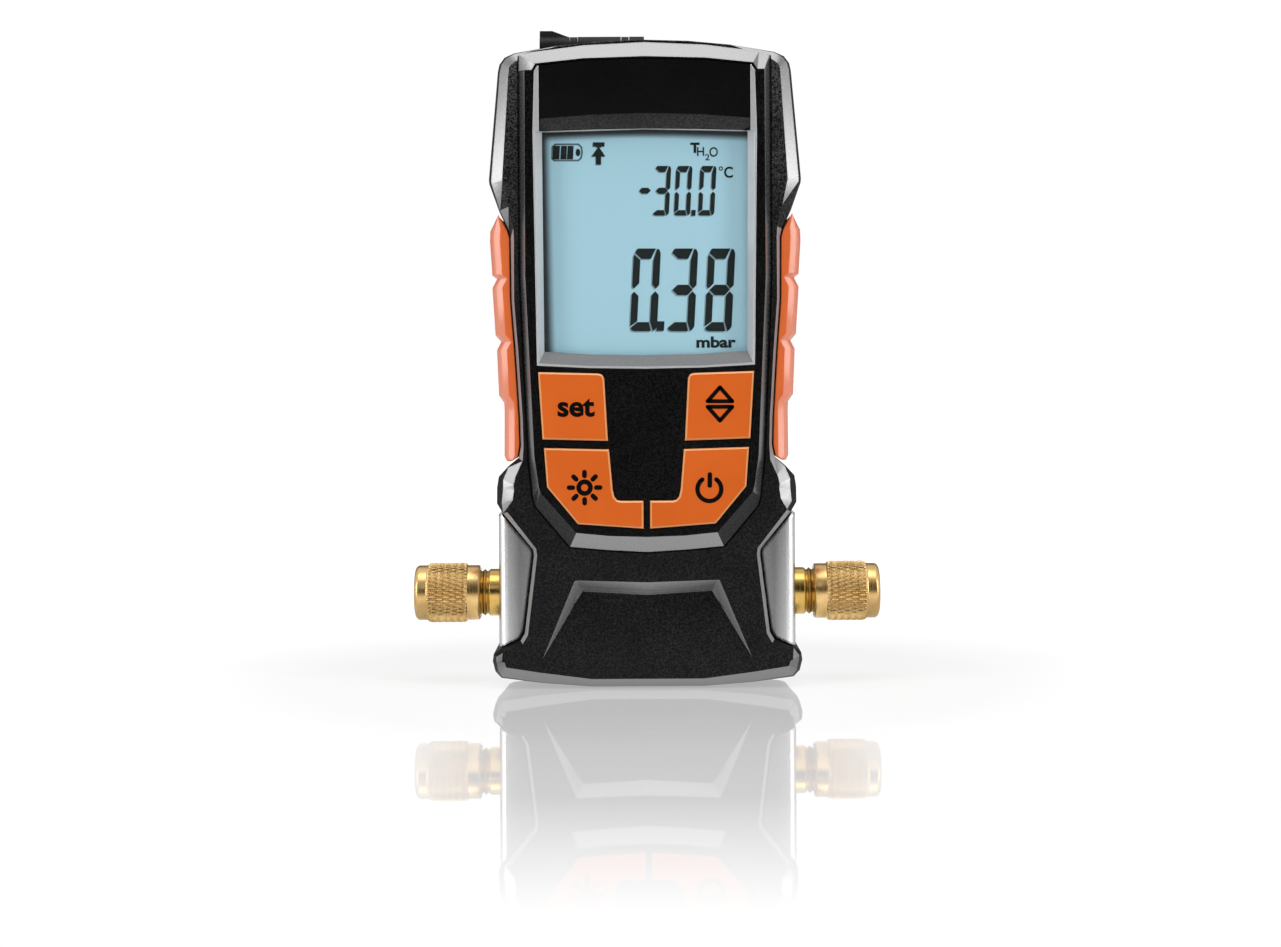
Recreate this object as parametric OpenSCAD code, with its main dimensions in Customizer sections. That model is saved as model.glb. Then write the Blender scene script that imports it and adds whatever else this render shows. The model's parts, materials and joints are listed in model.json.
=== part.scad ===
/* [Housing] */
// Width of the housing over its shoulders
body_w = 72.4; // [70:0.2:80]
// Height of the housing from its base to the top of its arch
body_h = 150; // [146:1:165]
// Depth of the housing from the key tops to the back
body_d = 35; // [34.6:0.2:42]
// Wall thickness of both shells
wall = 2; // [1.6:0.1:2.2]
// How far the outer frame lies behind the key tops
frame_drop = 3; // [2.6:0.1:3.4]
// Depth of the light bevel round the front frame
bevel_d = 1.5; // [1:0.1:1.8]
// Depth of the dark rim outside that bevel
rim_d = 2.5; // [1.5:0.1:3.5]
// Widest bevel, on the bumpers
bevel_w = 2.6; // [2:0.1:3]
// Width of the rim outside the bevel
rim_w = 0.7; // [0.4:0.1:0.9]
// Thickness of the seal between the two shells
seal_t = 0.3; // [0.2:0.1:0.5]
// Depth of the scoop below the keys
scoop_d = 2.6; // [1.5:0.1:2.8]

/* [Face plate] */
// How far the keys stand proud of the face plate
key_proud = 0.4; // [0.2:0.1:0.6]
// Depth of the pocket that the face plate sits in
plate_seat = 0.8; // [0.6:0.1:1]
// Width of the groove round the face plate
groove_w = 0.35; // [0.2:0.05:0.5]
// Width of the ledge behind the face plate's edge
ledge_w = 2.6; // [2.2:0.1:2.8]
// Thickness of the label plate
label_t = 1.4; // [1:0.1:1.6]
// Thickness of the display frame behind its front face
frame_t = 2.9; // [2.6:0.1:3]
// Thickness of the display window
lens_t = 1; // [0.8:0.1:1.2]
// Thickness of the liquid crystal glass
lcd_t = 2; // [1.6:0.1:2.2]
// How far the glass and the window reach past the opening
lcd_border = 0.9; // [0.6:0.1:1]

/* [Keys] */
// Travel of a key
key_travel = 0.6; // [0.3:0.1:0.7]
// Gap all round a key
key_gap = 0.2; // [0.15:0.05:0.25]
// Bevel round a key's top
key_bevel = 0.4; // [0.2:0.1:0.6]
// Width of the flange that keeps a key in its hole
key_flange = 0.45; // [0.35:0.05:0.5]
// Diameter of the stem behind a key
stem_d = 3; // [2:0.2:4]
// Thickness of the keypad mat
mat_t = 0.8; // [0.6:0.1:1]
// Diameter of a snap dome
dome_d = 5; // [4:0.5:6]
// Height of a snap dome
dome_h = 0.25; // [0.2:0.05:0.4]

/* [Circuit board] */
// Thickness of the circuit board
board_t = 1.6; // [1:0.1:1.8]
// Distance from the front of the frame to the circuit board
board_back = 5.4; // [5.2:0.1:5.8]
// Outer diameter of a board boss
boss_d = 5; // [4:0.5:6]
// Diameter of a board screw
board_screw_d = 1.8; // [1.4:0.2:2.2]
// Length of a board screw under its head
board_screw_len = 4; // [3.6:0.2:4.4]
// Height of the chips on the board
chip_h = 1.5; // [1:0.1:2]

/* [Ports] */
// Height of the ports above the base: share of the housing's height
port_z_share = 0.14; // [0.137:0.001:0.146]
// Diameter of the port thread, 7/16 inch
thread_d = 11.11; // [10:0.01:12]
// Pitch of the port thread, 20 to the inch
thread_pitch = 1.27; // [1:0.01:1.5]
// Diameter of the bore through a port
port_bore = 3.8; // [2.5:0.1:3.9]
// Length of a port beyond its side panel
port_reach = 12.8; // [12:0.2:14]
// Distance from the middle to a side panel's outer face
panel_x_share = 0.95; // [0.93:0.005:0.96]
// Diameter of a port's spigot in the manifold
spigot_d = 8; // [7:0.2:9]
// Length of a port's spigot in the manifold
spigot_len = 6; // [5:0.5:7]
// Width of the manifold block
manifold_w = 40; // [36:0.5:42]
// Height of the manifold block
manifold_h = 16; // [14:0.5:17]
// Depth of the manifold block
manifold_d = 12.2; // [11.4:0.1:12.2]
// Room between the circuit board and the vacuum sensor
sensor_room = 1.5; // [1.2:0.1:2.4]
// Height of the vacuum sensor
sensor_h = 8; // [6:0.5:9]

/* [Caps] */
// Gap between a side panel and its cap
cap_off = 4.9; // [4:0.1:6]
// Length of a cap
cap_len = 15.4; // [14.5:0.1:17]
// Diameter of the knurled part of a cap
cap_d = 14; // [13.8:0.1:16]
// Diameter of the plain collars of a cap
collar_d = 12.9; // [12.6:0.1:13.6]
// Length of the collar at each end of a cap
collar_len = 3.1; // [2:0.1:4]
// Clearance round the thread inside a cap
cap_clear = 0.2; // [0.1:0.05:0.3]
// Thickness of the seal inside a cap
cap_seal_t = 1.2; // [0.8:0.1:1.6]

/* [Batteries] */
// Diameter of a battery
cell_d = 14.5; // [14:0.1:14.6]
// Length of a battery with its nub
cell_len = 50.5; // [49:0.5:51]
// Height of the battery bay above the base: share of the housing's height
bay_z_share = 0.307; // [0.305:0.001:0.318]
// Room round a battery
cell_gap = 0.25; // [0.2:0.05:0.35]
// Wall round the battery bay
bay_wall = 1.2; // [1:0.1:1.4]
// Length of a battery spring as fitted
spring_len = 3; // [2.5:0.1:3.5]
// Diameter of a battery spring
spring_d = 7; // [6:0.5:8]
// Wire diameter of a battery spring
spring_wire = 0.6; // [0.5:0.1:0.7]
// Thickness of a contact plate
contact_t = 0.4; // [0.3:0.1:0.6]
// Thickness of the battery cover
cover_t = 1.8; // [1.5:0.1:2]
// How far the battery cover reaches past the bay
cover_rim = 1.6; // [1.4:0.1:2]

/* [Hook] */
// Width of the hook's head along its hinge: share of half the housing's width
hook_w_share = 0.696; // [0.66:0.002:0.704]
// Distance of the hinge axis above the housing
hook_rise = 1.8; // [1.6:0.1:2.4]
// Distance of the hinge axis in front of the back
hook_in = 4; // [3.8:0.1:4.4]
// Radius of the hook's barrel
barrel_r = 2.2; // [2:0.1:2.3]
// Diameter of the hook's pin
pin_d = 1.8; // [1.4:0.1:2]
// Inner radius of the hook: share of its head's width
hook_inner_share = 0.206; // [0.176:0.002:0.208]
// Width of the hook's arm: share of its head's width
hook_arm_share = 0.175; // [0.143:0.002:0.177]
// Thickness of the hook's arm
hook_t = 3.6; // [3:0.1:3.8]
// Wall left between the hook's recess and the battery cover
hook_wall = 5.8; // [5.7:0.1:8]
// Width of an ear of the hook's hinge
ear_w = 1.8; // [1.4:0.1:2]

/* [Grips] */
// Length of a grip from the front to the back
grip_d = 25; // [20:0.5:26]
// Rounding of a grip's long edges
grip_round = 2.6; // [1.5:0.1:2.9]

/* [Hidden] */
$fn = 48;

// One overrun for every cut
over = 1;
// Clearance between flat faces that lie on each other
lay = 0.05;
// Clearance between pieces that are pushed into one another
fit = 0.02;
// Clearance round a shaft that turns
run = 0.05;
// Gap between the shells and the side panels or grips
side_gap = 0.25;
// Edges whose directions differ by less than this are taken as parallel
parallel_limit = 0.0001;

half_w = body_w / 2;
front_y = -body_d / 2;
back_y = body_d / 2;
frame_y = front_y + frame_drop;
plate_y = front_y + key_proud;
seat_y = frame_y + plate_seat;
frame_in_y = frame_y + wall;
board_y = frame_y + board_back;
board_in_y = board_y + board_t;

// Outer frame, right half from the base to the top: across, up, rim share, bevel share
shell_shares = [
    [0.359, 0, 0.6, 0.7], [0.682, 0.006, 0.7, 0.9], [0.936, 0.014, 1, 0.9],
    [0.975, 0.024, 1.3, 0.8], [0.992, 0.04, 1.4, 0.75], [0.986, 0.0507, 1, 0.6], [0.936, 0.0613, 0.3, 0.3],
    [0.812, 0.074, 0.2, 0.3], [0.785, 0.0853, 0.2, 0.3], [0.725, 0.2047, 0.2, 0.3], [0.729, 0.2127, 0.2, 0.3],
    [0.923, 0.2687, 0.4, 0.4], [0.96, 0.284, 1.8, 1], [0.9585, 0.3087, 2.2, 1], [0.9475, 0.3253, 1.8, 1],
    [0.887, 0.3413, 0.4, 1], [0.818, 0.3547, 0.2, 0.4], [0.804, 0.3733, 0.2, 0.25], [0.809, 0.4167, 0.2, 0.25],
    [0.834, 0.5173, 0.2, 0.25], [0.859, 0.5973, 0.2, 0.25], [0.862, 0.6933, 0.2, 0.3],
    [0.876, 0.7053, 0.3, 0.45], [0.934, 0.7347, 0.5, 0.8], [0.997, 0.7773, 0.9, 1], [1, 0.784, 1, 1],
    [0.939, 0.9507, 0.9, 0.8], [0.928, 0.9627, 1, 0.75], [0.895, 0.9733, 1, 0.75], [0.834, 0.98, 0.7, 0.7],
    [0.5525, 0.9917, 0.5, 0.1], [0.276, 0.998, 0.5, 0.1], [0, 1, 0.5, 0.1]
];
// Rows of that table that are the first and the last of a side panel's opening
opening_rows = [6, 11];

// Rounded form that the back is cut to, right half from the base to the top: across, up
back_shares = [
    [0.5, 0], [0.9, 0.008], [0.99, 0.035], [1, 0.25], [1.01, 0.784], [0.95, 0.95], [0.84, 0.98],
    [0.5525, 0.9917], [0, 1]
];
// Steps of the rounding of the back: share of its depth, share of its inset
back_step_shares = [[0, 0], [0.45, 0.18], [0.8, 0.52], [1, 1]];
// Depth and width of that rounding
back_round_d = 5.5;
back_round_w = 5;

// Face plate, right half from the bottom to the top: across and up at the groove, across and up on top
plate_shares = [
    [0, 0.2073, 0, 0.234], [0.249, 0.2107, 0.235, 0.2357], [0.494, 0.216, 0.4475, 0.2407],
    [0.713, 0.2787, 0.674, 0.3027], [0.732, 0.2933, 0.684, 0.3133], [0.757, 0.35, 0.71, 0.3567],
    [0.808, 0.6333, 0.762, 0.6333], [0.809, 0.9493, 0.76, 0.9487], [0.807, 0.9753, 0.7165, 0.9487],
    [0.732, 0.98, 0.6895, 0.9587], [0.387, 0.9907, 0.387, 0.9663], [0, 0.995, 0, 0.969]
];
// Display frame, right half: across, up
frame_shares = [
    [0, 0.4913], [0.359, 0.4927], [0.6905, 0.4967], [0.711, 0.8533], [0.7, 0.9467], [0.6795, 0.9553],
    [0.387, 0.9627], [0, 0.9653]
];
// Opening over the display, right half: across and up in front, across and up behind
window_shares = [
    [0, 0.494, 0, 0.512], [0.359, 0.4953, 0.345, 0.5133], [0.6795, 0.4997, 0.646, 0.518],
    [0.699, 0.8547, 0.6545, 0.8547], [0, 0.8587, 0, 0.8587]
];
// Label plate, right half: across and up in front, across and up behind
label_shares = [
    [0, 0.882, 0, 0.859], [0.3315, 0.88, 0.3315, 0.858], [0.67, 0.874, 0.67, 0.8553],
    [0.67, 0.9553, 0.67, 0.9553], [0.387, 0.9627, 0.387, 0.9627], [0, 0.9653, 0, 0.9653]
];
// Upper key on the right: across, up
upper_key_shares = [
    [0.244, 0.381], [0.658, 0.384], [0.684, 0.4867], [0.302, 0.4842], [0.277, 0.4822], [0.2655, 0.4765]
];
// Lower key on the right: across, up
lower_key_shares = [
    [0.021, 0.2467], [0.4365, 0.254], [0.631, 0.3107], [0.649, 0.3707], [0.2375, 0.368], [0.215, 0.3055],
    [0.205, 0.2955], [0.187, 0.2905], [0.164, 0.2893], [0.021, 0.2893]
];
// Middle of a stem behind an upper and a lower key
upper_stem_shares = [0.46, 0.434];
lower_stem_shares = [0.42, 0.3];
// Scoop: across and up at the surface, then on its floor, right half
scoop_top_shares = [[0, 0.163], [0.46, 0.1665], [0.666, 0.047]];
scoop_floor_shares = [[0, 0.142], [0.415, 0.148]];
// Foot of the wall behind the scoop
backing_shares = [[0, 0.06], [0.5, 0.06]];

// Right grip, outer edge from the bottom to the top: across, up, share of the rounding
grip_outer_shares = [
    [0.9, 0.3493, 0.5], [0.914, 0.3567, 1], [0.912, 0.4267, 1], [0.914, 0.439, 1], [0.947, 0.4507, 1],
    [0.9585, 0.5207, 1], [0.931, 0.534, 1], [0.967, 0.544, 1], [0.986, 0.6173, 1], [0.956, 0.6313, 1],
    [0.986, 0.6373, 1], [1, 0.69, 1], [0.997, 0.706, 1], [0.945, 0.7293, 0.1]
];
// Rows of the shell's table that a grip lies on
grip_rows = [16, 22];
// Steps of a grip's rounding from its face inwards: share of its depth, share of its inset
grip_step_shares = [[0, 1], [0.3, 0.45], [1, 0.1], [1.8, 0]];

// Board bosses: across, up
board_hole_shares = [[0.55, 0.92], [0.33, 0.2067]];
// Board, right half from the bottom to the top: across, up
board_shares = [[0, 0.183], [0.42, 0.183], [0.42, 0.275], [0.69, 0.35], [0.69, 0.94], [0, 0.94]];
// Housing screws: across, up
screw_shares = [[0.815, 0.853], [0.56, 0.2467]];

// Display, from its window back to the board
lcd_bottom = window_shares[0][3] * body_h - lcd_border;
lcd_top = window_shares[4][3] * body_h + lcd_border;
lcd_w = 2 * (window_shares[3][2] * half_w + lcd_border);
frame_back_y = plate_y + frame_t;
lens_y = frame_back_y + lay;
lcd_y = lens_y + lens_t + lay;
light_y = lcd_y + lcd_t + lay;
light_t = board_y - light_y - 2 * lay;
// Width of the connector strip under the glass and the room left for it
zebra_w = 2;
zebra_room = 3;

// Flanges of the keys, the mat behind them and the stems through the mat
key_base_y = frame_y;
flange_t = 0.6;
flange_gap = 0.1;
mat_y = key_base_y + flange_t + flange_gap + key_travel + flange_gap;
stem_end_y = board_y - dome_h - key_travel - lay;
mat_gap = 0.4;
stem_hole_d = stem_d + mat_gap;

// Room round the screw bosses in the board, and how far the chips are let into it
boss_gap = 0.3;
chip_in = 0.02;

// Side panels: outer face, back edge, and the unit of depth of their section
panel_x = panel_x_share * half_w;
panel_margin = 6.9;
panel_back_y = back_y - panel_margin;
panel_step = 2.6;
// Cross-section of a side panel's front: share of its distance across, steps behind the frame
panel_section_shares = [[0.737, 1.5], [0.842, 1.3], [0.916, 1.05], [0.958, 0.9], [0.984, 1.15], [1, 1.8]];

// Ports: inner end of the spigot's collar, nose, depth of the thread, wall at the nose, seals
port_x = manifold_w / 2;
port_z = port_z_share * body_h;
port_end = panel_x + port_reach;
thread_cut = 0.55;
nose_wall = 1;
seal_ring_d = 1.5;
// Caps: mouth, closed end, place of the seal, end of the bore, edges
cap_x = panel_x + cap_off;
cap_end = cap_x + cap_len;
seal_x = port_end + lay;
cap_room = seal_x + cap_seal_t + lay;
cap_edge = 0.5;
cap_step = 0.3;
// Sensor: diameter, pin in the manifold, clamping ring, flat cable
sensor_d = 2 * (-board_in_y - sensor_room);
sensor_pin = 3;
ring_t = 0.9;
ring_w = sensor_d / 8;
cable_w = sensor_d / 2;
cable_t = 0.4;
cable_foot = port_z + manifold_h / 2 + sensor_h + 2 * lay;

// Battery bay and its cells
bay_z = bay_z_share * body_h;
cable_rise = (bay_z - bay_wall - cover_rim - cable_foot) / 2;
cell_y = back_y - cover_t - cell_gap - cell_d / 2;
bay_floor_y = cell_y - cell_d / 2 - cell_gap;
bay_half = cell_d + 2 * cell_gap;
bay_len = cell_len + spring_len + 2 * contact_t + 2 * cell_gap;
bay_top = bay_z + bay_len;
cell_low = bay_z + contact_t + cell_gap;
nub_d = 5.5;
nub_h = 1;
spring_turns = 3;
spring_rings = 14;
spring_sides = 6;
// Battery cover, its two tabs and its thumb ribs
cover_gap = 0.3;
cover_low = bay_z - cover_rim;
cover_high = bay_top + cover_rim;
cover_half = bay_half + cover_rim;
tab_w = 6;
tab_len = 1.6;
tab_t = 0.9;
tab_x = 8;
rib_w = 1;
rib_h = 0.5;
rib_count = 4;
rib_len = 14;

// Room round the hook in its recess
recess_gap = 0.6;
// Hook: axis, recess in the back, ears, head, bend and thumb tab
hook_y = back_y - hook_in;
hook_z = body_h + hook_rise;
hook_w = hook_w_share * half_w;
hook_inner_r = hook_inner_share * hook_w;
hook_arm = hook_arm_share * hook_w;
hook_len = hook_z - cover_high - cover_gap - hook_wall - recess_gap;
arm_y = hook_y - lay * 2;
recess_floor_y = arm_y - recess_gap;
hook_right = 0;
// Left edges of the two ears: share of the hook's width from its right end
ear_shares = [0.71, 0.218];
ears = [for (s = ear_shares) hook_right - s * hook_w];
ear_gap = 0.12;
// Height of the hook's tip over its bend: share of the room up to its head
tip_share = 0.4;
hook_mid = ears[1] - ear_gap - hook_inner_r - hook_arm;
hook_bend_z = hook_z - hook_len + hook_inner_r + hook_arm;
head_h = 9.3;
slot_h = 4.6;
tip_rise = tip_share * (hook_z - head_h - hook_bend_z);
thumb_w = 3;
thumb_h = 1.4;
thumb_t = 1.2;
thumb_slope = 3.9;

// Housing screws and their bosses
screw_d = 2.8;
screw_head_d = 5;
screw_head_h = 2;
screw_boss_d = 6;
screw_reach = 9;

function unit(v) = v / norm(v);
function left_of(v) = [-v[1], v[0]];
function bisector(before, after) = 2 * (before + after) / ((before + after) * (before + after));
function before(list, i) = list[(i + len(list) - 1) % len(list)];
function after(list, i) = list[(i + 1) % len(list)];
// Direction into an outline at one of its points, long enough to move both edges by one
function inward(list, i) = bisector(unit(left_of(list[i] - before(list, i))), unit(left_of(after(list, i) - list[i])));
function drawn_in(list, depths) = [for (i = [0:len(list) - 1]) list[i] + depths[i] * inward(list, i)];
function same(list, depth) = [for (p = list) depth];
// Points of the right half in real sizes, taking the two columns from the first one named
function sized(shares, first = 0) = [for (s = shares) [s[first] * half_w, s[first + 1] * body_h]];
function mirrored(list) = [for (i = [len(list) - 1:-1:0]) if (list[i][0] > 0) [-list[i][0], list[i][1]]];
function whole(list) = concat(list, mirrored(list));
// One column of a table for the right half and then for the left half
function column(shares, c) = concat(
    [for (s = shares) s[c]],
    [for (i = [len(shares) - 1:-1:0]) if (shares[i][0] > 0) shares[i][c]]
);

shell_outline = whole(sized(shell_shares));
rim_ring = drawn_in(shell_outline, rim_w * column(shell_shares, 2));
// Ring just in front of the frame, so that the bevel has its full width at the frame
bevel_ring = drawn_in(
    shell_outline,
    rim_w * column(shell_shares, 2) + (bevel_d + lay) / bevel_d * bevel_w * column(shell_shares, 3)
);
full_outline = whole(sized([
    for (i = [0:len(shell_shares) - 1]) if (i <= opening_rows[0] || i >= opening_rows[1]) shell_shares[i]
]));
plate_outline = whole(sized(plate_shares));
plate_top = whole(sized(plate_shares, 2));
frame_outline = whole(sized(frame_shares));

// A side between two layers: one face where its front and back edges are parallel, otherwise two
function side(a, b, c, d, p) =
    abs(cross(unit(p[b] - p[a]), unit(p[c] - p[d]))) < parallel_limit ? [[a, b, c, d]] : [[a, b, c], [a, c, d]];

// Solid through outlines with equal numbers of points, each at its own depth: [depth, outline]
module stacked(layers) {
    n = len(layers[0][1]);
    last = (len(layers) - 1) * n;
    flat_points = [for (layer = layers) each layer[1]];
    polyhedron(
        points = [for (layer = layers) for (p = layer[1]) [p[0], layer[0], p[1]]],
        faces = concat(
            [[for (i = [n - 1:-1:0]) i]],
            [for (k = [0:n:last - 1]) for (i = [0:n - 1])
                each side(k + i, k + (i + 1) % n, k + n + (i + 1) % n, k + n + i, flat_points)],
            [[for (i = [0:n - 1]) last + i]]
        )
    );
}

// The same solid, cut flat at its two ends
module flat_ended(layers) {
    last = len(layers) - 1;
    function beyond(a, b) = let (t = lay / abs(b[0] - a[0])) [
        a[0] + (a[0] - b[0]) * t, [for (i = [0:len(a[1]) - 1]) a[1][i] + (a[1][i] - b[1][i]) * t]
    ];
    intersection() {
        stacked(concat(
            [beyond(layers[0], layers[1])],
            [for (k = [1:1:last - 1]) layers[k]],
            [beyond(layers[last], layers[last - 1])]
        ));
        between(layers[0][0], layers[last][0])
            translate([-body_w, -over])
                square([2 * body_w, body_h + 2 * over]);
    }
}

// Straight solid over a flat shape drawn across and up, between two depths
module between(y0, y1) {
    translate([0, y1, 0])
        rotate([90, 0, 0])
            linear_extrude(height = y1 - y0)
                children();
}

// Cylinder along the depth
module post(x, z, y0, y1, d) {
    translate([x, y1, z])
        rotate([90, 0, 0])
            cylinder(h = y1 - y0, d = d);
}

// Cylinder across the housing
module shaft(x0, x1, d) {
    translate([x0, 0, 0])
        rotate([0, 90, 0])
            cylinder(h = x1 - x0, d = d);
}

// Turned solid about the line across the housing, from points that give place along it and radius
module turned(points) {
    rotate([0, 90, 0])
        rotate_extrude()
            polygon([for (p = points) [p[1], p[0]]]);
}

module each_side() {
    children();
    mirror([1, 0, 0])
        children();
}

module inside(depth, outline) {
    offset(delta = -depth)
        polygon(outline);
}

// Opening of a side panel on the right, open towards the side
module panel_opening(reach) {
    rows = [for (i = [opening_rows[0]:opening_rows[1]]) shell_shares[i]];
    points = sized(rows);
    polygon(concat(points, [[reach, points[len(points) - 1][1]], [reach, points[0][1]]]));
}

module at_board_holes() {
    each_side()
        for (s = board_hole_shares)
            translate([s[0] * half_w, 0, s[1] * body_h])
                children();
}

module at_housing_screws() {
    each_side()
        for (s = screw_shares)
            translate([s[0] * half_w, 0, s[1] * body_h])
                children();
}

// The window through the front wall behind the display and the keys
module front_window() {
    intersection() {
        inside(ledge_w, plate_outline);
        translate([-half_w, 0])
            square([body_w, lcd_top + mat_gap]);
    }
}

module scoop() {
    surface = whole(sized(scoop_top_shares));
    floor_points = whole(sized(scoop_floor_shares));
    points = concat(
        [for (p = surface) [p[0], frame_y - over, p[1]]],
        [for (p = surface) [p[0], frame_y, p[1]]],
        [for (p = floor_points) [p[0], frame_y + scoop_d, p[1]]]
    );
    polyhedron(points = points, faces = [
        [0, 1, 2, 3, 4], [1, 0, 5, 6], [2, 1, 6, 7], [3, 2, 7, 8], [4, 3, 8, 9], [0, 4, 9, 5],
        [6, 5, 10], [6, 10, 11], [7, 6, 11], [5, 9, 12], [5, 12, 10], [9, 8, 12],
        [8, 7, 10], [7, 11, 10], [8, 10, 12]
    ]);
}

module front_form() {
    intersection() {
        stacked([
            [frame_y - lay, bevel_ring],
            [frame_y + bevel_d, rim_ring],
            [frame_y + bevel_d + rim_d, shell_outline],
            [over, shell_outline]
        ]);
        between(frame_y, -seal_t / 2)
            translate([-body_w, -over])
                square([2 * body_w, body_h + 2 * over]);
    }
}

module front_shell() {
    color([0.07, 0.07, 0.075])
    difference() {
        front_form();
        between(frame_in_y, over)
            difference() {
                inside(wall, shell_outline);
                at_screw_circles(screw_boss_d);
                at_board_circles(boss_d);
                scoop_backing();
            }
        between(board_y - lay, over)
            at_board_circles(boss_d + 2 * lay);
        between(frame_in_y + scoop_d, over)
            offset(delta = lay)
                scoop_backing();
        between(frame_y - over, seat_y)
            polygon(plate_outline);
        between(seat_y - lay, frame_in_y + over)
            front_window();
        scoop();
        at_housing_screws()
            post(0, 0, -screw_reach, over, screw_d + 2 * fit);
        at_board_holes()
            post(0, 0, board_y - board_screw_len, board_y + over, board_screw_d + 2 * fit);
        translate([0, 0, port_z])
            shaft(-body_w, body_w, thread_d + 2 * side_gap);
    }
}

// Where the wall follows the scoop inwards
module scoop_backing() {
    offset(delta = wall / 2)
        polygon(whole(sized([backing_shares[0], backing_shares[1], scoop_floor_shares[1], scoop_floor_shares[0]])));
}

module at_screw_circles(d) {
    for (side = [-1, 1])
        for (s = screw_shares)
            translate([side * s[0] * half_w, s[1] * body_h])
                circle(d = d);
}

module at_board_circles(d) {
    for (side = [-1, 1])
        for (s = board_hole_shares)
            translate([side * s[0] * half_w, s[1] * body_h])
                circle(d = d);
}

module rear_form() {
    outline = whole(sized(back_shares));
    intersection() {
        union() {
            between(seal_t / 2, panel_back_y + side_gap)
                polygon(shell_outline);
            between(panel_back_y, back_y)
                polygon(full_outline);
        }
        stacked(concat([[0, outline]], [
            for (s = back_step_shares) [
                back_y - back_round_d * (1 - s[0]),
                drawn_in(outline, same(outline, back_round_w * s[1]))
            ]
        ]));
    }
}

module rear_shell() {
    color([0.07, 0.07, 0.075])
    difference() {
        union() {
            difference() {
                rear_form();
                between(-over, back_y - wall)
                    inside(wall, shell_outline);
            }
            intersection() {
                rear_form();
                union() {
                    between(seal_t / 2, back_y)
                        at_screw_circles(screw_boss_d);
                    between(seal_t / 2, back_y)
                        bay_outline(bay_wall + cover_rim);
                    between(recess_floor_y - wall, back_y)
                        hook_recess(wall);
                }
            }
            between(bay_floor_y - bay_wall, seal_t)
                bay_outline(bay_wall);
            hook_ears();
        }
        between(bay_floor_y, back_y + over)
            bay_outline(0);
        between(back_y - cover_t - lay, back_y + over)
            cover_outline(cover_gap);
        tab_pockets();
        difference() {
            between(recess_floor_y, back_y + over)
                hook_recess(0);
            hook_ears();
        }
        difference() {
            hinge_room();
            hook_ears();
        }
        pin_bore();
        at_housing_screws() {
            post(0, 0, -over, back_y + over, screw_d + 2 * side_gap);
            post(0, 0, back_y - screw_head_h - wall, back_y + over, screw_head_d + 2 * side_gap);
        }
        translate([0, 0, port_z])
            shaft(-body_w, body_w, thread_d + 2 * side_gap);
    }
}

module bay_outline(grow) {
    translate([-bay_half - grow, bay_z - grow])
        square([2 * (bay_half + grow), bay_len + 2 * grow]);
}

module cover_outline(grow) {
    translate([-cover_half - grow, cover_low - grow])
        square([2 * (cover_half + grow), cover_high - cover_low + 2 * grow]);
}

module tab_pockets() {
    reach = tab_len + cover_gap;
    for (side = [-1, 1])
        translate([side * tab_x - tab_w / 2 - cover_gap, back_y - cover_t - reach, cover_high - reach])
            cube([tab_w + 2 * cover_gap, reach + cover_t - tab_t + lay, 2 * reach]);
}

module hook_recess(grow) {
    low = hook_z - hook_len - recess_gap - grow;
    translate([hook_right - hook_w - recess_gap - grow, low])
        square([hook_w + 2 * (recess_gap + grow), hook_z - low]);
}

// Room round the barrel of the hook and for its thumb tab as it turns
module hinge_room() {
    left = hook_right - hook_w - recess_gap;
    translate([0, hook_y, hook_z]) {
        shaft(left, hook_right + recess_gap, 2 * (barrel_r + ear_gap));
        shaft(left, left + recess_gap + thumb_w + thumb_slope, 2 * (barrel_r + thumb_h + ear_gap));
    }
}

module hook_ears() {
    for (x = ears)
        translate([x, 0, 0])
            rotate([90, 0, 90])
                linear_extrude(height = ear_w)
                    ear_profile();
}

module ear_profile() {
    foot_z = hook_z - slot_h;
    union() {
        translate([hook_y, hook_z])
            circle(r = barrel_r - lay);
        polygon([
            [recess_floor_y - wall, foot_z], [recess_floor_y + lay, foot_z],
            [hook_y + barrel_r / 2, hook_z - barrel_r / 2], [hook_y, hook_z], [hook_y - barrel_r + lay, hook_z]
        ]);
    }
}

module pin_bore() {
    translate([0, hook_y, hook_z])
        shaft(-body_w, over, pin_d + 2 * fit);
}

module face_plate() {
    color([0.08, 0.08, 0.085])
    difference() {
        stacked([
            [plate_y, plate_top],
            [frame_y, drawn_in(plate_outline, same(plate_outline, groove_w))],
            [seat_y - lay, drawn_in(plate_outline, same(plate_outline, groove_w))]
        ]);
        between(plate_y - over, seat_y + over)
            inside(-side_gap, frame_outline);
        for (side = [0, 1])
            mirror([side, 0, 0]) {
                key_hole(upper_key_shares);
                key_hole(lower_key_shares);
            }
    }
}

module key_hole(shares) {
    between(plate_y - over, seat_y + over)
        inside(-key_gap, sized(shares));
    between(key_base_y - flange_gap, seat_y + over)
        inside(-key_gap - key_flange, sized(shares));
}

module display_frame() {
    color([0.72, 0.72, 0.73])
    difference() {
        between(plate_y + lay, frame_back_y)
            polygon(frame_outline);
        stacked([
            [plate_y, whole(sized(window_shares))],
            [frame_back_y - plate_seat, whole(sized(window_shares, 2))],
            [frame_back_y + over, whole(sized(window_shares, 2))]
        ]);
        between(plate_y - over, plate_y + label_t + lay)
            label_pocket();
    }
}

module label_pocket() {
    x = label_shares[3][0] * half_w + lay;
    low = label_shares[2][3] * body_h - lay;
    translate([-x, low])
        square([2 * x, body_h - low]);
}

module label_plate() {
    color([0.05, 0.05, 0.055])
    flat_ended([
        [plate_y + 2 * lay, whole(sized(label_shares))],
        [plate_y + label_t, whole(sized(label_shares, 2))]
    ]);
}

module display_block(y, t, low, high, w) {
    translate([-w / 2, y, low])
        cube([w, t, high - low]);
}

module display_lens() {
    color([0.8, 0.9, 0.95, 0.35])
    display_block(lens_y, lens_t, lcd_bottom, lcd_top, lcd_w);
}

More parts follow.
